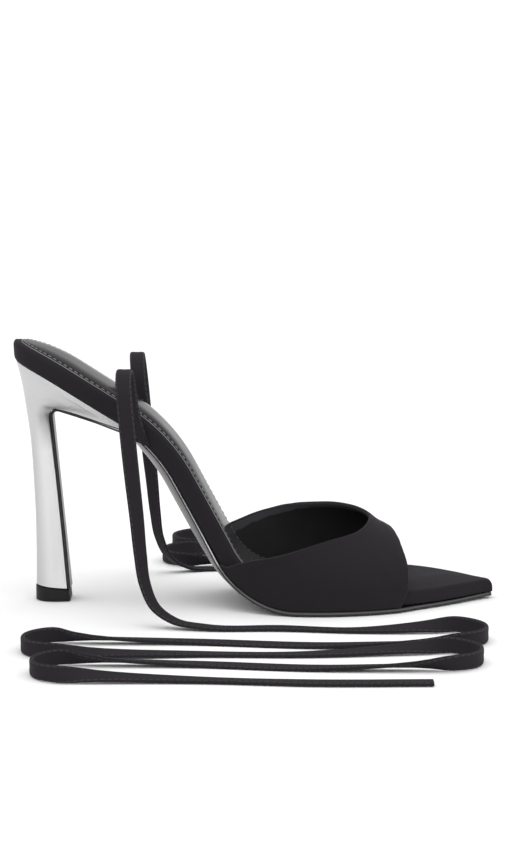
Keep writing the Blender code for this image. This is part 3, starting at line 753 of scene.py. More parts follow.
STITCH_PITCH, STITCH_LENGTH, STITCH_RADIUS, STITCH_LIFT = 2.7, 2.0, 0.27, 0.16
lines = [[], []]
for row in sock_ring(STITCH_IN):
    lines[0].append(FEATHER.point(row.run, row.low, row.low_up + STITCH_LIFT))
    lines[1].append(FEATHER.point(row.run, row.high, row.high_up + STITCH_LIFT))
places = []
for centre, ahead in walk(lines[0] + lines[1][::-1], STITCH_PITCH):
    flat = Vector((0.0, 1.0, 0.0)) if abs(ahead.y) < 0.9 else Vector((1.0, 0.0, 0.5))
    normal = ahead.cross(flat).normalized()
    places.append((centre, ahead, normal if normal.z > 0.0 else -normal))
# Under the strap the thread is painted darker, as painted shade, so its row fades out there.
thread = leather("waxed_thread", (0.26, 0.26, 0.27), 0.45, 0.01, 0.3, 0.1, painted_shading_at_ball=(0.055, 0.055, 0.057))
stitches = beads("sock_stitches", places, STITCH_LENGTH, STITCH_RADIUS, thread)
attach(stitches, "root")
print(len(places), "stitches")

# %% [markdown]
# **Toe strap.** One piece of satin over a leather lining is pulled over the last, wide along the sole and
# narrow over the toes. Each cross section of the last is an arch with its own ridge and roundness, standing
# straight for its lowest few millimetres. The cut edges are tables of where the rear and front edges lie at
# each angle over the foot. The wall is made as rings that go along the outside, round the front edge, back
# along the lining and round the topline, so the folded edges are round and the lining has its own finish. A
# solidify modifier would leave them square.

# %% Arches and cut edges of the strap
VAMP_WALL, WALL_RISE = 1.8, 5.5
Crest = namedtuple("Crest", "x height y lateral_power medial_power")
CRESTS = [
    Crest(-20.0, 88.0, 5.0, 2.2, 2.4),
    Crest(0.0, 68.0, 5.0, 2.2, 2.4),
    Crest(20.0, 50.3, 5.0, 2.0, 2.4),
    Crest(40.0, 42.0, 4.5, 1.75, 2.5),
    Crest(50.0, 37.7, 4.0, 1.65, 2.4),
    Crest(55.0, 34.3, 3.5, 1.72, 2.3),
    Crest(60.0, 31.5, 3.0, 1.8, 2.2),
    Crest(70.0, 25.6, 2.5, 1.9, 2.1),
]
Cut = namedtuple("Cut", "angle topline front")
CUTS = [
    Cut(-1, -14.4, 63.8),
    Cut(0, -9.9, 66.0),
    Cut(2.4, -7.5, 66.5),
    Cut(8, -1.5, 66.9),
    Cut(16, 7.7, 67.1),
    Cut(28, 19.6, 67.1),
    Cut(39, 31.0, 66.7),
    Cut(48, 40.0, 66.0),
    Cut(55, 45.2, 65.3),
    Cut(64, 48.7, 64.4),
    Cut(75, 50.8, 62.8),
    Cut(90, 51.7, 60.8),
    Cut(96, 50.4, 60.8),
    Cut(102.6, 47.6, 61.2),
    Cut(109.3, 44.4, 61.9),
    Cut(116.5, 40.3, 62.9),
    Cut(127.8, 31.0, 64.6),
    Cut(140, 18.2, 66.3),
    Cut(152, 8.4, 67.3),
    Cut(162.9, -1.4, 67.8),
    Cut(173, -10.1, 67.6),
    Cut(180, -15.6, 67.2),
    Cut(181, -18.6, 66.2),
]
crest_at = [smooth(CRESTS, "x", column) for column in Crest._fields[1:]]
topline_at = smooth(CUTS, "angle", "topline")
front_at = smooth(CUTS, "angle", "front")
feather_rows = sorted((x, z) for x, z, _ in FEATHER.spots)
feather_xs = [x for x, _ in feather_rows]


def feather_z(x):
    """Height of the insole's lower edge above a place on the middle line."""
    i = min(max(bisect_right(feather_xs, x), 1), len(feather_rows) - 1)
    (xa, za), (xb, zb) = feather_rows[i - 1], feather_rows[i]
    return za + (zb - za) * min(max((x - xa) / (xb - xa), 0.0), 1.0)


def arch(angle, x):
    """A point of the strap's outer face at an angle over the foot, from the outer to the inner side."""
    height, ridge, lateral_power, medial_power = (at(x) for at in crest_at)
    base, out = feather_z(x), GAP + VAMP_WALL
    turn = math.radians(min(max(angle, 0.0), 180.0))
    outer = angle <= 90.0
    power = lateral_power if outer else medial_power
    reach = ridge + lateral_at(x) + out if outer else medial_at(x) + out - ridge
    across = reach * abs(math.cos(turn)) ** (2.0 / power)
    up = WALL_RISE + (height - base - WALL_RISE) * max(math.sin(turn), 0.0) ** (2.0 / power)
    up -= WALL_RISE * (max(-angle, 0.0) + max(angle - 180.0, 0.0))
    return Vector((x, ridge - across if outer else ridge + across, base + up))


over_toes, along_sole = (front_at(angle) - topline_at(angle) for angle in (90, 0))
print("strap", round(over_toes, 1), "mm over the toes,", round(along_sole, 1), "along the sole")

# %% [markdown]
# ** Soft creases.** Satin pulled over a last is never quite smooth: it draws in a little above the sole
# where it is lasted, swells over the folded hem at its cut edges, and has a few faint troughs where the
# strap bends at the ball. Each is listed: an angle over the foot, a place along it, its length,
# width, lean and depth. They move points along the normal, so they shade truly from every side, which a
# painted crease would not.

# %% Strap
Crease = namedtuple("Crease", "angle x length width lean depth")
CREASES = [
    Crease(9.0, 16.0, 15.0, 2.6, 0.55, -0.22),
    Crease(12.0, 24.0, 12.0, 2.2, 0.35, -0.16),
    Crease(7.0, 38.0, 9.0, 2.8, 0.10, -0.14),
    Crease(10.0, 57.0, 12.0, 2.4, -0.30, -0.20),
    Crease(36.0, 60.0, 14.0, 2.6, -0.45, -0.14),
    Crease(150.0, 20.0, 15.0, 2.8, 0.50, -0.20),
    Crease(146.0, 44.0, 12.0, 2.6, -0.20, -0.15),
    Crease(152.0, 58.0, 12.0, 2.4, -0.40, -0.18),
]
HEM, HEM_STEP, HEM_SOFT, HEM_INSIDE = 4.2, 0.16, 0.35, 3.6
LASTING_TUCK, TUCK_REACH, TUCK_RIPPLE = 0.18, 1.6, 0.9
MM_PER_DEGREE, SHOULDER, SHOULDER_AT = 0.62, 0.45, 2.0
RIM_ROOM, RIM_FLAT, LINING_FOLLOW, STEP_EASE = 0.55, 0.75, 0.3, 0.06


def relief(angle, x, along_rear, along_front, above):
    """Height of the satin over the plain arch, in millimetres."""
    height = 0.0
    for edge in (along_rear, along_front):
        height += HEM_STEP / (1.0 + math.exp((edge - HEM) / HEM_SOFT))
    ripple = 0.6 + 0.4 * math.sin(x * TUCK_RIPPLE)
    height -= LASTING_TUCK * math.exp(-((above / TUCK_REACH) ** 2)) * ripple
    for crease in CREASES:
        rise = (angle - crease.angle) * MM_PER_DEGREE
        off = (x - crease.x) - crease.lean * rise
        ends = (rise / crease.length) ** 2
        trough = math.exp(-((off / crease.width) ** 2) - ends)
        shoulder = math.exp(-((abs(off) / crease.width - SHOULDER_AT) ** 2) - ends)
        height += crease.depth * (trough - SHOULDER * shoulder)
    return height


STEPS, RIM = 84, 8
half_angles = [-1.0 + 0.2 * i for i in range(5)]
half_angles += [0.0, 0.5, 1.0, 1.7, 2.5, 3.5, 5.0, 7.0, 9.5, 12.0, 15.0, 18.0, 21.0, 24.0]
half_angles += [27.0 + 2.25 * i for i in range(28)]
angles = half_angles + [90.0] + [180.0 - a for a in reversed(half_angles)]
eased = [math.cos(math.pi * (STEP_EASE + (1.0 - 2 * STEP_EASE) * i / STEPS)) for i in range(STEPS + 1)]
spread = [(eased[0] - e) / (eased[0] - eased[-1]) for e in eased]
grid = []
for angle in angles:
    rear, front = topline_at(angle) + RIM_ROOM, front_at(angle) - RIM_ROOM
    grid.append([arch(angle, rear + (front - rear) * share) for share in spread])
normals = []
for k in range(len(grid)):
    row = []
    for i in range(STEPS + 1):
        over = grid[min(k + 1, len(grid) - 1)][i] - grid[max(k - 1, 0)][i]
        ahead = grid[k][min(i + 1, STEPS)] - grid[k][max(i - 1, 0)]
        row.append(ahead.cross(over).normalized())
    normals.append(row)
if normals[len(grid) // 2][STEPS // 2].z < 0.0:
    normals = [[-n for n in row] for row in normals]
strap_rings, strap_runs, strap_lengths, travelled = [], [], [], 0.0
for k, angle in enumerate(angles):
    spine, out = grid[k], normals[k]
    lengths = list(accumulate(((b - a).length for a, b in zip(spine, spine[1:])), initial=0.0))
    outside, lining = [], []
    for i, point in enumerate(spine):
        above = point.z - feather_z(point.x)
        lift = relief(angle, point.x, lengths[i], lengths[-1] - lengths[i], above)
        outside.append(point + out[i] * lift)
        lining.append(point - out[i] * (VAMP_WALL + LINING_FOLLOW * min(lift, 0.0)))
    rims = []
    for end, beyond in ((STEPS, spine[-1] - spine[-2]), (0, spine[0] - spine[1])):
        centre, radius = (outside[end] + lining[end]) / 2, (outside[end] - lining[end]).length / 2
        beyond = beyond.normalized()
        rim = []
        for j in range(RIM):
            a = math.pi * (j + 1) / (RIM + 1)
            rim.append(centre + (out[end] * math.cos(a) + beyond * (RIM_FLAT * math.sin(a))) * radius)
        rims.append(rim)
    front_rim, rear_rim = rims[0], rims[1][::-1]
    strap_rings.append(rear_rim[RIM // 2:] + outside + front_rim + lining[::-1] + rear_rim[:RIM // 2])
    if k:
        travelled += (spine[STEPS // 2] - grid[k - 1][STEPS // 2]).length
    strap_runs.append(travelled)
    strap_lengths.append(lengths)
first_outside = RIM // 2
first_inside = first_outside + STEPS + 1 + RIM


def strap_finish(k, i):
    """Satin outside and folded in as a hem, with a painted highlight on the fold and on the hem inside, and
    leather within.
    """
    if first_outside <= i < first_outside + STEPS:
        return 0
    j = STEPS - (i - first_inside)
    if not 1 <= j <= STEPS:
        return 2
    lengths = strap_lengths[k]
    return 1 if min(lengths[j - 1], lengths[-1] - lengths[j]) > HEM_INSIDE else 3


strap_finishes = [strap_satin, lining_leather, fold_satin, hem_satin]
strap = skin("toe_strap", strap_rings, strap_runs, strap_finishes, 60.0, strap_finish)
dress(strap, "satin", "vamp")
print("strap wall", VAMP_WALL, "mm, over the foot", round(travelled, 1), "mm")

# %% [markdown]
# ** Outsole.** A thin sole, polished black, that stands a little proud of the strap round the toes, thickens
# to a rounded belly under the waist, and carries on as a narrow strip under the wedge of the heel and down
# its breast. Its rings are square to its own side line. The table gives how far it stands out and how full
# its belly is. The upper corner of its edge carries a painted highlight, strongest along the shank, so that
# a thin light line parts sole and insole.

# %% Sole line and tables
SOLE_THICK, SOLE_EDGE, SOLE_BELLY, SOLE_WAIST_EDGE, SOLE_LEDGE = 2.0, 1.5, 5.2, 1.2, -0.6
BREAST_THICK, BREAST_EASE, STRIP_FADE = 1.25, 0.25, 25.0
EASE_FROM, EASE_WIDTH, EDGE_BULGE, BULGE_SHARE = 0.9, 0.1, 0.16, 0.05
SOLE_TOE_SHARE, SOLE_TOE_TAPER = 0.72, 34.0
WEDGE_SHARE, WEDGE_RADIUS, WEDGE_SLOPE, WEDGE_LENGTH = 16.0, 25.0, 15.8, 28.4
CORNER_RADIUS, BREAST_LEAN, BREAST_LENGTH, HEEL_AXIS_Y = 3.7, 5.4, 74.2, 1.0
Ledge = namedtuple("Ledge", "x out belly")
LEDGES = [
    Ledge(-50.0, -2.3, 0.85),
    Ledge(-35.0, -1.8, 1.0),
    Ledge(-22.0, -1.0, 1.0),
    Ledge(-12.0, 1.2, 0.75),
    Ledge(0.0, 2.6, 0.35),
    Ledge(16.0, 2.7, 0.0),
    Ledge(62.0, 2.7, 0.0),
    Ledge(72.0, 0.9, 0.0),
    Ledge(106.0, 0.35, 0.0),
]
Strip = namedtuple("Strip", "run half")
STRIPS = [
    Strip(0.0, 17.9),
    Strip(12.0, 15.6),
    Strip(25.0, 10.8),
    Strip(41.4, 6.3),
    Strip(48.6, 5.3),
    Strip(62.0, 4.7),
    Strip(82.0, 4.4),
    Strip(106.0, 5.0),
    Strip(123.0, 6.0),
]
waist = arc(WAIST_RADIUS, WEDGE_SHARE)
SOLE_END = SideLine(SOLE_LEDGE, [waist]).length
wedge = [arc(WEDGE_RADIUS, SHANK_SLOPE - WEDGE_SHARE - WEDGE_SLOPE), Move(WEDGE_LENGTH, 0.0)]
breast = [arc(CORNER_RADIUS, 90.0 + WEDGE_SLOPE + BREAST_LEAN), Move(BREAST_LENGTH, 0.0)]
SOLE = SideLine(SOLE_LEDGE, [waist] + wedge + breast)
ledge_at, belly_at = smooth(LEDGES, "x", "out"), smooth(LEDGES, "x", "belly")
strip_at = smooth(STRIPS, "run", "half")
print("sole runs", round(SOLE.length, 1), "mm from the toe to the foot of the heel")

# %% Polished sole leather
def polished_sole(name):
    hide = Finish(name)
    cloud = hide.noise(9.0, 4.0)
    brushed = hide.noise(0.5, 2.0, (0.12, 1.0, 1.0))
    return hide.surface({
        "Base Color": hide.mix(cloud, (0.0085, 0.0080, 0.0080, 1.0), (0.0150, 0.0140, 0.0140, 1.0)),
        "Roughness": 0.24 + 0.12 * cloud + 0.06 * brushed,
        "Normal": hide.bump(0.6 * brushed + 0.4 * cloud, 0.015),
        "Specular IOR Level": 0.3,
        "Coat Weight": 0.15,
        "Coat Roughness": 0.16,
    })


BEVEL_HIGHLIGHT_FROM, BEVEL_HIGHLIGHT_TO, BEVEL_HIGHLIGHT_FADE = -68.0, -20.0, 13.0


def painted_highlight_bevel(name):
    hide = Finish(name)
    cloud = hide.noise(5.0, 3.0)
    fine = hide.noise(0.6, 2.0)
    place = hide.node("ShaderNodeTexCoord", out="Object")
    forward = hide.node("ShaderNodeSeparateXYZ", {}, {0: place}, out="X")
    # Painted highlight: the bevel is painted lighter than the sole, and pale along the shank, as a thin
    # light line.
    black = hide.mix(cloud, (0.045, 0.045, 0.046, 1.0), (0.085, 0.085, 0.086, 1.0))
    shank_highlight = hide.mix((forward - BEVEL_HIGHLIGHT_FROM * MM) / (BEVEL_HIGHLIGHT_FADE * MM), black, (0.78, 0.78, 0.79, 1.0))
    return hide.surface({
        "Base Color": hide.mix((forward - BEVEL_HIGHLIGHT_TO * MM) / (BEVEL_HIGHLIGHT_FADE * MM), shank_highlight, black),
        "Roughness": 0.30 + 0.10 * fine,
        "Normal": hide.bump(fine, 0.010),
        "Specular IOR Level": 0.4,
    })


sole_polish = polished_sole("sole_polish")
sole_bevel = painted_highlight_bevel("sole_bevel")

# %% Outsole
FOOT_BACK, FOOT_FRONT, FOOT_CLEAR = -95.0, -80.0, 9.0
FOOT_JOINT, FOOT_TOP, FOOT_DROP = 6.8, 30.0, 1.9
SOLE_NOSE = [0.0, 0.3, 0.8, 1.6, 2.8, 4.5, 6.5, 9.0, 12.0, 15.5, 19.0]
UNDER_STEP, CORNER_FROM, CORNER_STEP = 1.5, 41.3, 0.4
MIDDLE_STEPS, UNDER_STEPS, CORNER_STEPS, BREAST_STEPS, SOLE_SPLITS = 90, 27, 19, 24, 28


def evenly(start, end, count):
    return [start + (end - start) * (i + 1) / count for i in range(count)]


def sole_runs():
    middle = evenly(SOLE_NOSE[-1], SOLE_END, MIDDLE_STEPS)
    under = [SOLE_END + UNDER_STEP * (i + 1) for i in range(UNDER_STEPS)]
    corner = [SOLE_END + CORNER_FROM + CORNER_STEP * (i + 1) for i in range(CORNER_STEPS)]
    return SOLE_NOSE + middle + under + corner + evenly(corner[-1], SOLE.length, BREAST_STEPS)


def sole_depth(share, belly, fade):
    """Thickness at a share of the half width: an eased edge, a flat or rounded bottom, thin on the heel."""
    ease = max(abs(share) - EASE_FROM, 0.0) / EASE_WIDTH
    flat = SOLE_THICK - (SOLE_THICK - SOLE_EDGE) * ease * ease
    full = SOLE_WAIST_EDGE + (SOLE_BELLY - SOLE_WAIST_EDGE) * (1.0 - share * share)
    flat = (BREAST_THICK - BREAST_EASE * ease * ease) * fade + flat * (1.0 - fade)
    return flat + (full - flat) * belly


def toe_share(run):
    return min(SOLE_TOE_SHARE + (1.0 - SOLE_TOE_SHARE) * run / SOLE_TOE_TAPER, 1.0)


def slanted(p):
    """A point near the foot of the heel, where the joint over the top piece drops towards the front."""
    if p.x >= FOOT_FRONT + FOOT_CLEAR:
        return p
    forward = min(max((p.x - FOOT_BACK) / (FOOT_FRONT - FOOT_BACK), 0.0), 1.0)
    near = min(p.z / FOOT_JOINT, (FOOT_TOP - p.z) / (FOOT_TOP - FOOT_JOINT))
    return Vector((p.x, p.y, p.z - FOOT_DROP * forward * max(near, 0.0)))


shares = [math.sin(math.radians(-90.0 + 180.0 * i / SOLE_SPLITS)) for i in range(SOLE_SPLITS + 1)]
sole_rings = []
for run in sole_runs():
    x, past = SOLE.at(run)[0], run - SOLE_END
    out, belly, fade = ledge_at(x), belly_at(x), 0.0
    low, high = -lateral_at(x) - out, medial_at(x) + out
    if past > 0.0:
        fade = min(past / STRIP_FADE, 1.0)
        middle = HEEL_AXIS_Y * fade + (low + high) / 2 * (1.0 - fade)
        low, high = middle - strip_at(past), middle + strip_at(past)
        belly *= 1.0 - fade
    middle, half = (low + high) / 2, (high - low) / 2
    thin = toe_share(run)
    edge = sole_depth(1.0, belly, fade) * thin
    bulge = min(EDGE_BULGE, half * BULGE_SHARE)
    profile = [(-0.5, 0.0), (-0.3, 0.20), (0.4 * bulge, 0.56), (bulge, 0.70), (0.6 * bulge, 0.86)]
    ring = [SOLE.point(run, low - out, -GAP - edge * down) for out, down in profile]
    ring += [SOLE.point(run, middle + half * s, -GAP - sole_depth(s, belly, fade) * thin) for s in shares]
    ring += [SOLE.point(run, high + out, -GAP - edge * down) for out, down in reversed(profile)]
    sole_rings.append([slanted(Vector((p.x, p.y, max(p.z, 0.0)))) for p in ring])


def sole_finish(k, i):
    """The eased upper corner of the edge, on both sides, is painted lighter as a highlight."""
    return 1 if i in (1, len(sole_rings[0]) - 3) else 0


outsole = skin("outsole_leather", sole_rings, sole_runs(), [sole_polish, sole_bevel], 42.0, sole_finish)
dress(outsole, "sole_leather", "outsole")

# %% [markdown]
# **Heel.** A slanting block: as wide as the seat above, pinched below the wedge, and flaring again a little
# to its foot. Slices fan out from the seat to the foot, each rounded behind and flat in front. The table
# gives, for each, where its front lies along the sole strip, how high its back lies, and two half widths.
# Between the rows the same monotone cubic keeps the silhouette clean. The coat is a satin silver: metal,
# with its roughness clouded a little and the faintest pebble. In a white room such a coat would be white
# all round, so shade is painted into its colour by the way that it faces: painted greyer behind and on the
# wedge, paler towards the breast.

# %% Silver coat
WEDGE_SHADE_FROM, WEDGE_SHADE_FADE, FACING_SHADE_FROM, FACING_SHADE_SPAN = 66.0, 14.0, 0.9, 1.3


def silver(name):
    metal = Finish(name)
    cloud = metal.noise(11.0, 3.0)
    pebble = metal.noise(0.55, 2.0)
    grain = metal.noise(0.9, 2.0, (1.0, 1.0, 0.12))
    place, turned = metal.node("ShaderNodeTexCoord", out=("Object", "Normal"))
    height = metal.node("ShaderNodeSeparateXYZ", {}, {0: place}, out="Z")
    ahead = metal.node("ShaderNodeSeparateXYZ", {}, {0: turned}, out="X")
    # Painted shade: the colour is greyer where the coat faces back and on the wedge, paler where it faces
    # the breast.
    turn = (ahead + FACING_SHADE_FROM) / FACING_SHADE_SPAN
    column = metal.mix(turn, (0.480, 0.480, 0.485, 1.0), (0.920, 0.920, 0.920, 1.0))
    wedge = (height - WEDGE_SHADE_FROM * MM) / (WEDGE_SHADE_FADE * MM)
    tone = metal.mix(wedge, column, (0.540, 0.540, 0.544, 1.0))
    tone = metal.mix(0.10 * cloud + 0.16 * (pebble - 0.3), tone, (1.0, 1.0, 1.0, 1.0))
    return metal.surface({
        "Base Color": tone,
        "Metallic": 0.94,
        "Roughness": 0.33 + 0.12 * cloud + 0.06 * grain,
        "Normal": metal.bump(0.55 * pebble + 0.45 * grain, 0.050),
    })


silver_coat = silver("silver_coat")

# %% Heel
Seat = namedtuple("Seat", "run back_z half front_half")
SEATS = [
    Seat(6.5, 104.9, 22.4, 19.4),
    Seat(14.0, 102.2, 20.6, 16.8),
    Seat(22.0, 98.8, 18.2, 13.8),
    Seat(30.0, 95.0, 15.2, 10.6),
    Seat(37.5, 90.8, 12.4, 8.1),
    Seat(42.0, 88.0, 10.9, 7.1),
    Seat(44.2, 85.6, 9.9, 6.6),
    Seat(46.4, 83.3, 9.0, 6.2),
    Seat(48.5, 81.1, 8.3, 5.9),
    Seat(53.0, 76.9, 7.5, 5.6),
    Seat(65.0, 65.0, 6.3, 5.1),
    Seat(79.0, 51.0, 5.8, 4.9),
    Seat(93.0, 37.1, 5.9, 5.0),
    Seat(107.0, 23.1, 6.5, 5.5),
    Seat(116.0, 14.2, 7.1, 6.0),
    Seat(122.6, 7.1, 7.6, 6.4),
]
SEAT_TOP = Seat(6.0, 106.0, 22.8, 19.6)
Back = namedtuple("Back", "z x")
BACKS = [
    Back(7.0, -94.8),
    Back(20.0, -94.7),
    Back(35.0, -94.8),
    Back(53.0, -95.5),
    Back(70.0, -96.5),
    Back(85.0, -98.4),
    Back(95.0, -99.9),
    Back(105.0, -102.2),
    Back(112.0, -104.2),
]
back_at = smooth(BACKS, "z", "x")
seat_at = [smooth(SEATS, "run", column) for column in Seat._fields[1:]]
SEAT_GAP, SEAT_WIDEST = GAP * 1.25, 0.42
FOOT_WIDEST, WIDEST_FALL, SLIM_HALF, SLIM_SPAN = 0.56, 0.14, 6.0, 16.0
SLICE_STEP, WEDGE_SLICES, COLUMN_SLICES = 0.9, 53, 40
BACK_STEPS, SIDE_STEPS, SIDE_END = 18, 10, 0.985
EASED_CORNER = [(0.997, 0.985), (1.0, 0.95)]


def rounded_back(widest, half, front_half):
    """A plan as (share of the length, half width) rows, round behind, with eased front corners."""
    outline = []
    for i in range(1, BACK_STEPS + 1):
        a = math.radians(90.0 * i / BACK_STEPS)
        outline.append((widest * (1.0 - math.cos(a)), half * math.sin(a)))
    for i in range(1, SIDE_STEPS + 1):
        t = i / SIDE_STEPS
        outline.append((widest + (1.0 - widest) * t * SIDE_END, half - (half - front_half) * t * t))
    outline += [(share, front_half * part) for share, part in EASED_CORNER]
    return [(share, -w) for share, w in reversed(outline)] + [(0.0, 0.0)] + outline


def heel_ring(back, front, widest, half, front_half):
    start, end = Vector((back[0], HEEL_AXIS_Y, back[1])), Vector((front[0], HEEL_AXIS_Y, front[1]))
    outline = rounded_back(widest, half, front_half)
    return [start.lerp(end, share) + Vector((0.0, w, 0.0)) for share, w in outline]


front_x = SOLE.at(SOLE_END + SEAT_TOP.run)[0]
top_front = (front_x, feather_z(front_x) - SEAT_GAP)
top_back = (back_at(SEAT_TOP.back_z), SEAT_TOP.back_z)
seat = heel_ring(top_back, top_front, SEAT_WIDEST, SEAT_TOP.half, SEAT_TOP.front_half)
heel_rings = [[Vector((p.x, p.y, feather_z(p.x) - SEAT_GAP)) for p in seat]]
heel_runs = [0.0]
slices = [SEATS[0].run + SLICE_STEP * i for i in range(WEDGE_SLICES)]
slices += evenly(slices[-1], SEATS[-1].run, COLUMN_SLICES)
for run in slices:
    back_z, half, front_half = (at(run) for at in seat_at)
    widest = FOOT_WIDEST - WIDEST_FALL * min(max((half - SLIM_HALF) / SLIM_SPAN, 0.0), 1.0)
    x, z = SOLE.at(SOLE_END + run)[:2]
    heel_rings.append(heel_ring((back_at(back_z), back_z), (x, z), widest, half, front_half))
    heel_runs.append(run)
heel_rings = [[slanted(p) for p in ring] for ring in heel_rings]
heel = skin("heel_block", heel_rings, heel_runs, [silver_coat], 40.0)
dress(heel, "silver", "heel")

# %% [markdown]
# **Top piece.** The tread block under the heel is a hard black rubber, cut to the heel's own plan and a
# touch wider, with its edges broken so that they catch a thin line of light. Its joint with the heel drops
# a little to the front. Fine ribs run across its tread.

# %% Top piece
TOP_PIECE_HEIGHT, TOP_PIECE_BACK, TOP_PIECE_FRONT, TIP_FLARE = 6.6, -95.1, -80.1, 0.4
TIP_WIDEST, TIP_SIDE, TIP_FRONT_SIDE, TIP_HALF = 0.52, 0.3, 0.4, 7.5
RIB_PITCH, RIB_BELOW = 1.4, 0.2


def hard_rubber(name):
    rubber = Finish(name)
    fine = rubber.noise(0.35, 2.0)
    cloud = rubber.noise(4.0, 2.0)
    place = rubber.node("ShaderNodeTexCoord", out="Object")
    along, up_axis = rubber.node("ShaderNodeSeparateXYZ", {}, {0: place}, out=("X", "Z"))
    rib = (along * (2 * math.pi / (RIB_PITCH * MM))).sine() * (up_axis < RIB_BELOW * MM)
    return rubber.surface({
        "Base Color": rubber.mix(cloud, (0.010, 0.010, 0.011, 1.0), (0.016, 0.016, 0.017, 1.0)),
        "Roughness": 0.46 + 0.14 * fine,
        "Normal": rubber.bump(0.5 * fine + 2.0 * rib, 0.06),
        "Specular IOR Level": 0.18,
    })


tip_rubber = hard_rubber("tip_rubber")
plan = rounded_back(TIP_WIDEST, SEATS[-1].half + TIP_SIDE, SEATS[-1].front_half + TIP_FRONT_SIDE)
length = TOP_PIECE_FRONT - TOP_PIECE_BACK
tip_rings, tip_runs = [], []
broken_edges = [(0.0, 0.45), (0.12, 0.18), (0.4, 0.0), (2.0, 0.0), (4.0, 0.0), (5.6, 0.0)]
broken_edges += [(6.3, 0.05), (6.5, 0.16), (TOP_PIECE_HEIGHT, 0.4)]
for z, inset in broken_edges:
    ring, middle, shrink = [], TOP_PIECE_BACK + length / 2, 1.0 - inset / TIP_HALF
    for share, w in plan:
        x = TOP_PIECE_BACK + length * share
        x = middle + (x - middle) * shrink + TIP_FLARE * share**3 * (1.0 - z / TOP_PIECE_HEIGHT)
        ring.append(slanted(Vector((x, HEEL_AXIS_Y + w * shrink, z))))
    tip_rings.append(ring)
    tip_runs.append(z)
tip = skin("heel_tip", tip_rings, tip_runs, [tip_rubber], 40.0)
dress(tip, "rubber", "top_piece")

# %% [markdown] **Ankle ties.** Two flat satin ties are tucked in at the waist. They rise beside the insole,
# arch over and fall, and lie in loose bends. A flat tie can't bend in its own plane, so it stands on edge
# in each bend and lies flat between. The route is a table for the fall and a table of bends, joined by one
# smooth curve, and the cross section is swept along it.

# %% Route of a tie
TIE_WIDTH, TIE_THICK, TIE_SWAY, SWAY_OUT, SWAY_BACK = 6.6, 1.7, 0.012, 0.34, 0.67
TIE_CLEAR, FLOOR_CLEAR, TIE_SPLITS = 0.1, 0.03, 7
Rise = namedtuple("Rise", "x out z turn")
RISE = [
    Rise(-47.7, 20.9, 72.2, 0),
    Rise(-49.2, 22.2, 76.8, 0),
    Rise(-50.8, 22.5, 83.5, 0),
    Rise(-52.0, 23.0, 90.0, 0),
    Rise(-52.7, 25.0, 97.5, 0),
    Rise(-53.3, 30.5, 103.0, 0),
    Rise(-53.6, 38.0, 105.0, 0),
    Rise(-53.6, 45.5, 103.0, 0),
    Rise(-53.2, 51.0, 97.5, 0),
    Rise(-52.5, 53.0, 90.0, 0),
    Rise(-51.4, 53.4, 78.0, 6),
    Rise(-49.8, 53.4, 62.0, 16),
    Rise(-48.0, 53.4, 45.0, 30),
    Rise(-46.6, 53.8, 30.0, 41),
    Rise(-44.8, 54.8, 18.0, 50),
    Rise(-40.4, 56.8, 8.4, 58),
    Rise(-32.5, 59.4, 3.2, 64),
    Rise(-20.5, 62.2, 1.4, 74),
]
Bend = namedtuple("Bend", "x out radius")
LATERAL_BENDS = [
    Bend(80.0, 81.0, 15.0),
    Bend(-77.0, 100.0, 14.5),
    Bend(74.0, 119.0, 15.5),
    Bend(-70.0, 138.0, 14.5),
]
MEDIAL_BENDS = [
    Bend(54.0, 68.5, 14.5),
    Bend(-27.0, 86.1, 15.0),
    Bend(52.0, 103.7, 15.0),
    Bend(-24.0, 121.3, 14.5),
    Bend(50.0, 138.9, 15.0),
    Bend(8.0, 156.5, 14.5),
    Bend(43.0, 174.1, 15.0),
]
Step = namedtuple("Step", "angle on_edge")
ROUND_BEND = [Step(-112, 0.45), Step(-75, 0.9), Step(-38, 1.0), Step(0, 1.0)]
ROUND_BEND += [Step(-step.angle, step.on_edge) for step in reversed(ROUND_BEND[:3])]
Tie = namedtuple("Tie", "name node side shift bends tail length")
TIES = [
    Tie("tie_lateral", "ankle_tie_lateral", -1, (0.0, 0.0, 0.0), LATERAL_BENDS, (68.0, -155.0, 0.0), 1.045),
    Tie("tie_medial", "ankle_tie_medial", 1, (1.8, 1.0, -1.0), MEDIAL_BENDS, (10.0, 188.7, 0.0), 1.000),
]


def curve_through(points, spans, splits):
    """Points along a smooth curve through the given ones, which lie the given spans apart."""
    slopes = [(b - a) / span for a, b, span in zip(points, points[1:], spans)]
    tangents = [slopes[0]]
    for a, b, before, after in zip(slopes, slopes[1:], spans, spans[1:]):
        tangents.append((a * after + b * before) / (before + after))
    tangents.append(slopes[-1])
    made = []
    for i, span in enumerate(spans):
        for k in range(splits):
            t = k / splits
            pull = tangents[i] * (1.0 - t) - tangents[i + 1] * t
            share = t * t * (3.0 - 2.0 * t)
            made.append(points[i].lerp(points[i + 1], share) + pull * (span * t * (1.0 - t)))
    return made + [points[-1]]


def straight(a, b, way):
    sway = Vector((0.0, TIE_SWAY * way * (b - a).length, 0.0))
    return [(a.lerp(b, SWAY_OUT) + sway, 0.0), (a.lerp(b, SWAY_BACK) - sway, 0.0)]


def floor_route(tie, landing):
    """Places on the floor and how far the tie stands on edge there."""
    route, last = [], landing
    for number, bend in enumerate(tie.bends):
        ahead = 1 if number % 2 == 0 else -1
        turn = []
        for step in ROUND_BEND:
            angle = math.radians(step.angle)
            x = bend.x + ahead * bend.radius * math.cos(angle)
            y = tie.side * (bend.out + bend.radius * math.sin(angle))
            turn.append((Vector((x, y, 0.0)), step.on_edge))
        route += straight(last, turn[0][0], ahead) + turn
        last = turn[-1][0]
    tail = Vector(tie.tail)
    return route + straight(last, tail, 1) + [(tail, 0.0)]


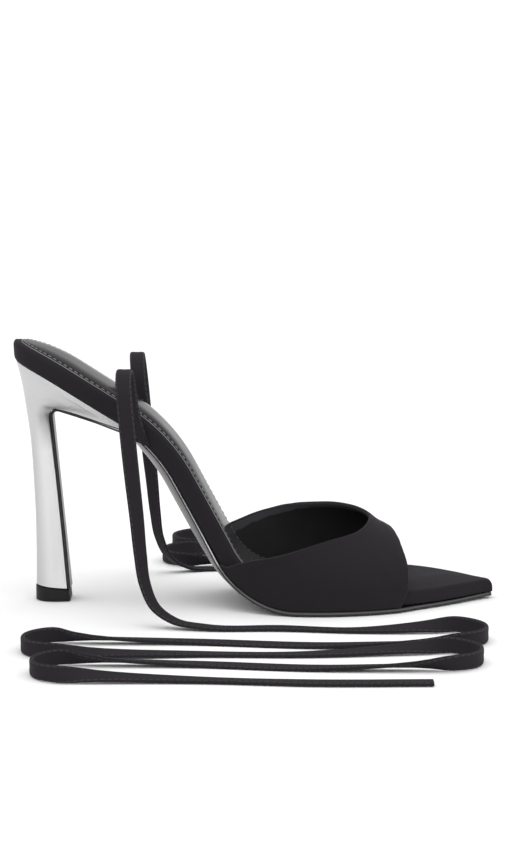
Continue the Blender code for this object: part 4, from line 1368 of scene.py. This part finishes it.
def tie_frames(tie):
    """Centres, width and face directions along a tie."""
    centres, widths = [], []
    for row in RISE:
        turn = math.radians(row.turn)
        centres.append(Vector((row.x, tie.side * row.out, row.z)) + Vector(tie.shift))
        widths.append(Vector((-tie.side * math.cos(turn), math.sin(turn), 0.0)))
    landing = Vector((centres[-1].x, centres[-1].y, 0.0))
    route = floor_route(tie, landing)
    spots = [landing] + [spot for spot, _ in route]
    for i, (spot, on_edge) in enumerate(route):
        lean = math.radians(90.0 * on_edge)
        ahead = spots[min(i + 2, len(spots) - 1)] - spots[i]
        across = Vector((-ahead.y, ahead.x, 0.0)).normalized()
        widths.append(across * math.cos(lean) + Vector((0.0, 0.0, math.sin(lean))))
        lift = (TIE_WIDTH * math.sin(lean) + TIE_THICK * math.cos(lean)) / 2 + TIE_CLEAR
        centres.append(spot + Vector((0.0, 0.0, lift)))
    spans = [(b - a).length for a, b in zip(centres, centres[1:])]
    path = curve_through(centres, spans, TIE_SPLITS)
    turns = curve_through(widths, spans, TIE_SPLITS)
    frames = []
    for i, centre in enumerate(path):
        tangent = (path[min(i + 1, len(path) - 1)] - path[max(i - 1, 0)]).normalized()
        width = (turns[i] - tangent * turns[i].dot(tangent)).normalized()
        frames.append((centre, width, tangent.cross(width)))
    return frames


print("fall", len(RISE), "rows, bends", len(LATERAL_BENDS), "and", len(MEDIAL_BENDS))

# %% [markdown]
# The tie's own cloth is a folded band, topstitched along both edges. Its section is a flat rounded bar that
# is a little fuller at the folded edges than in the middle. Its root is cut on a slant, along the lower
# edge of the insole where it is tucked in. The stitch rows are part of the finish here, because two metres
# of beads would cost more than they show.

# %% Ties
ROOT_SLANT, ROOT_LENGTH = 1.0, 11.0
SECTION_STEPS, STITCH_STEP = 12, 2
half, thick = TIE_WIDTH / 2, TIE_THICK / 2
upper = []
for i in range(SECTION_STEPS + 1):
    s = -math.cos(math.pi * i / SECTION_STEPS)
    swell = thick * (1.0 - abs(s) ** 6) ** 0.5 * (0.86 + 0.14 * min(abs(s) / 0.7, 1.0))
    upper.append((half * s, swell))
section = upper + [(a, -b) for a, b in reversed(upper[1:-1])]
round_tie = [0.0] + list(accumulate(math.dist(p, q) for p, q in zip(section, section[1:] + section[:1])))
rows = [round_tie[i] for i in (STITCH_STEP, SECTION_STEPS - STITCH_STEP)]
rows += [round_tie[i] for i in (SECTION_STEPS + STITCH_STEP, 2 * SECTION_STEPS - STITCH_STEP)]
tie_satin = satin("tie_satin", (0.0260, 0.0230, 0.0265), 0.60, rows)
for tie in TIES:
    frames = tie_frames(tie)
    rings, runs = [], [0.0]
    path = [centre * MM for centre, _, _ in frames]
    runs += list(accumulate((b - a).length / MM for a, b in zip(path, path[1:])))
    for run, (centre, width, out) in zip(runs, frames):
        slant = width.cross(out) * (-ROOT_SLANT * width.x * max(1.0 - run / ROOT_LENGTH, 0.0))
        ring = [centre + (width + slant) * a + out * b for a, b in section]
        rings.append([Vector((p.x, p.y, max(p.z, FLOOR_CLEAR))) for p in ring])
    band = skin(tie.name, rings, runs, [tie_satin], 60.0)
    dress(band, "satin", tie.node)
    print(tie.name, "is", round(runs[-1]), "mm long")

# %% [markdown] **Finish.
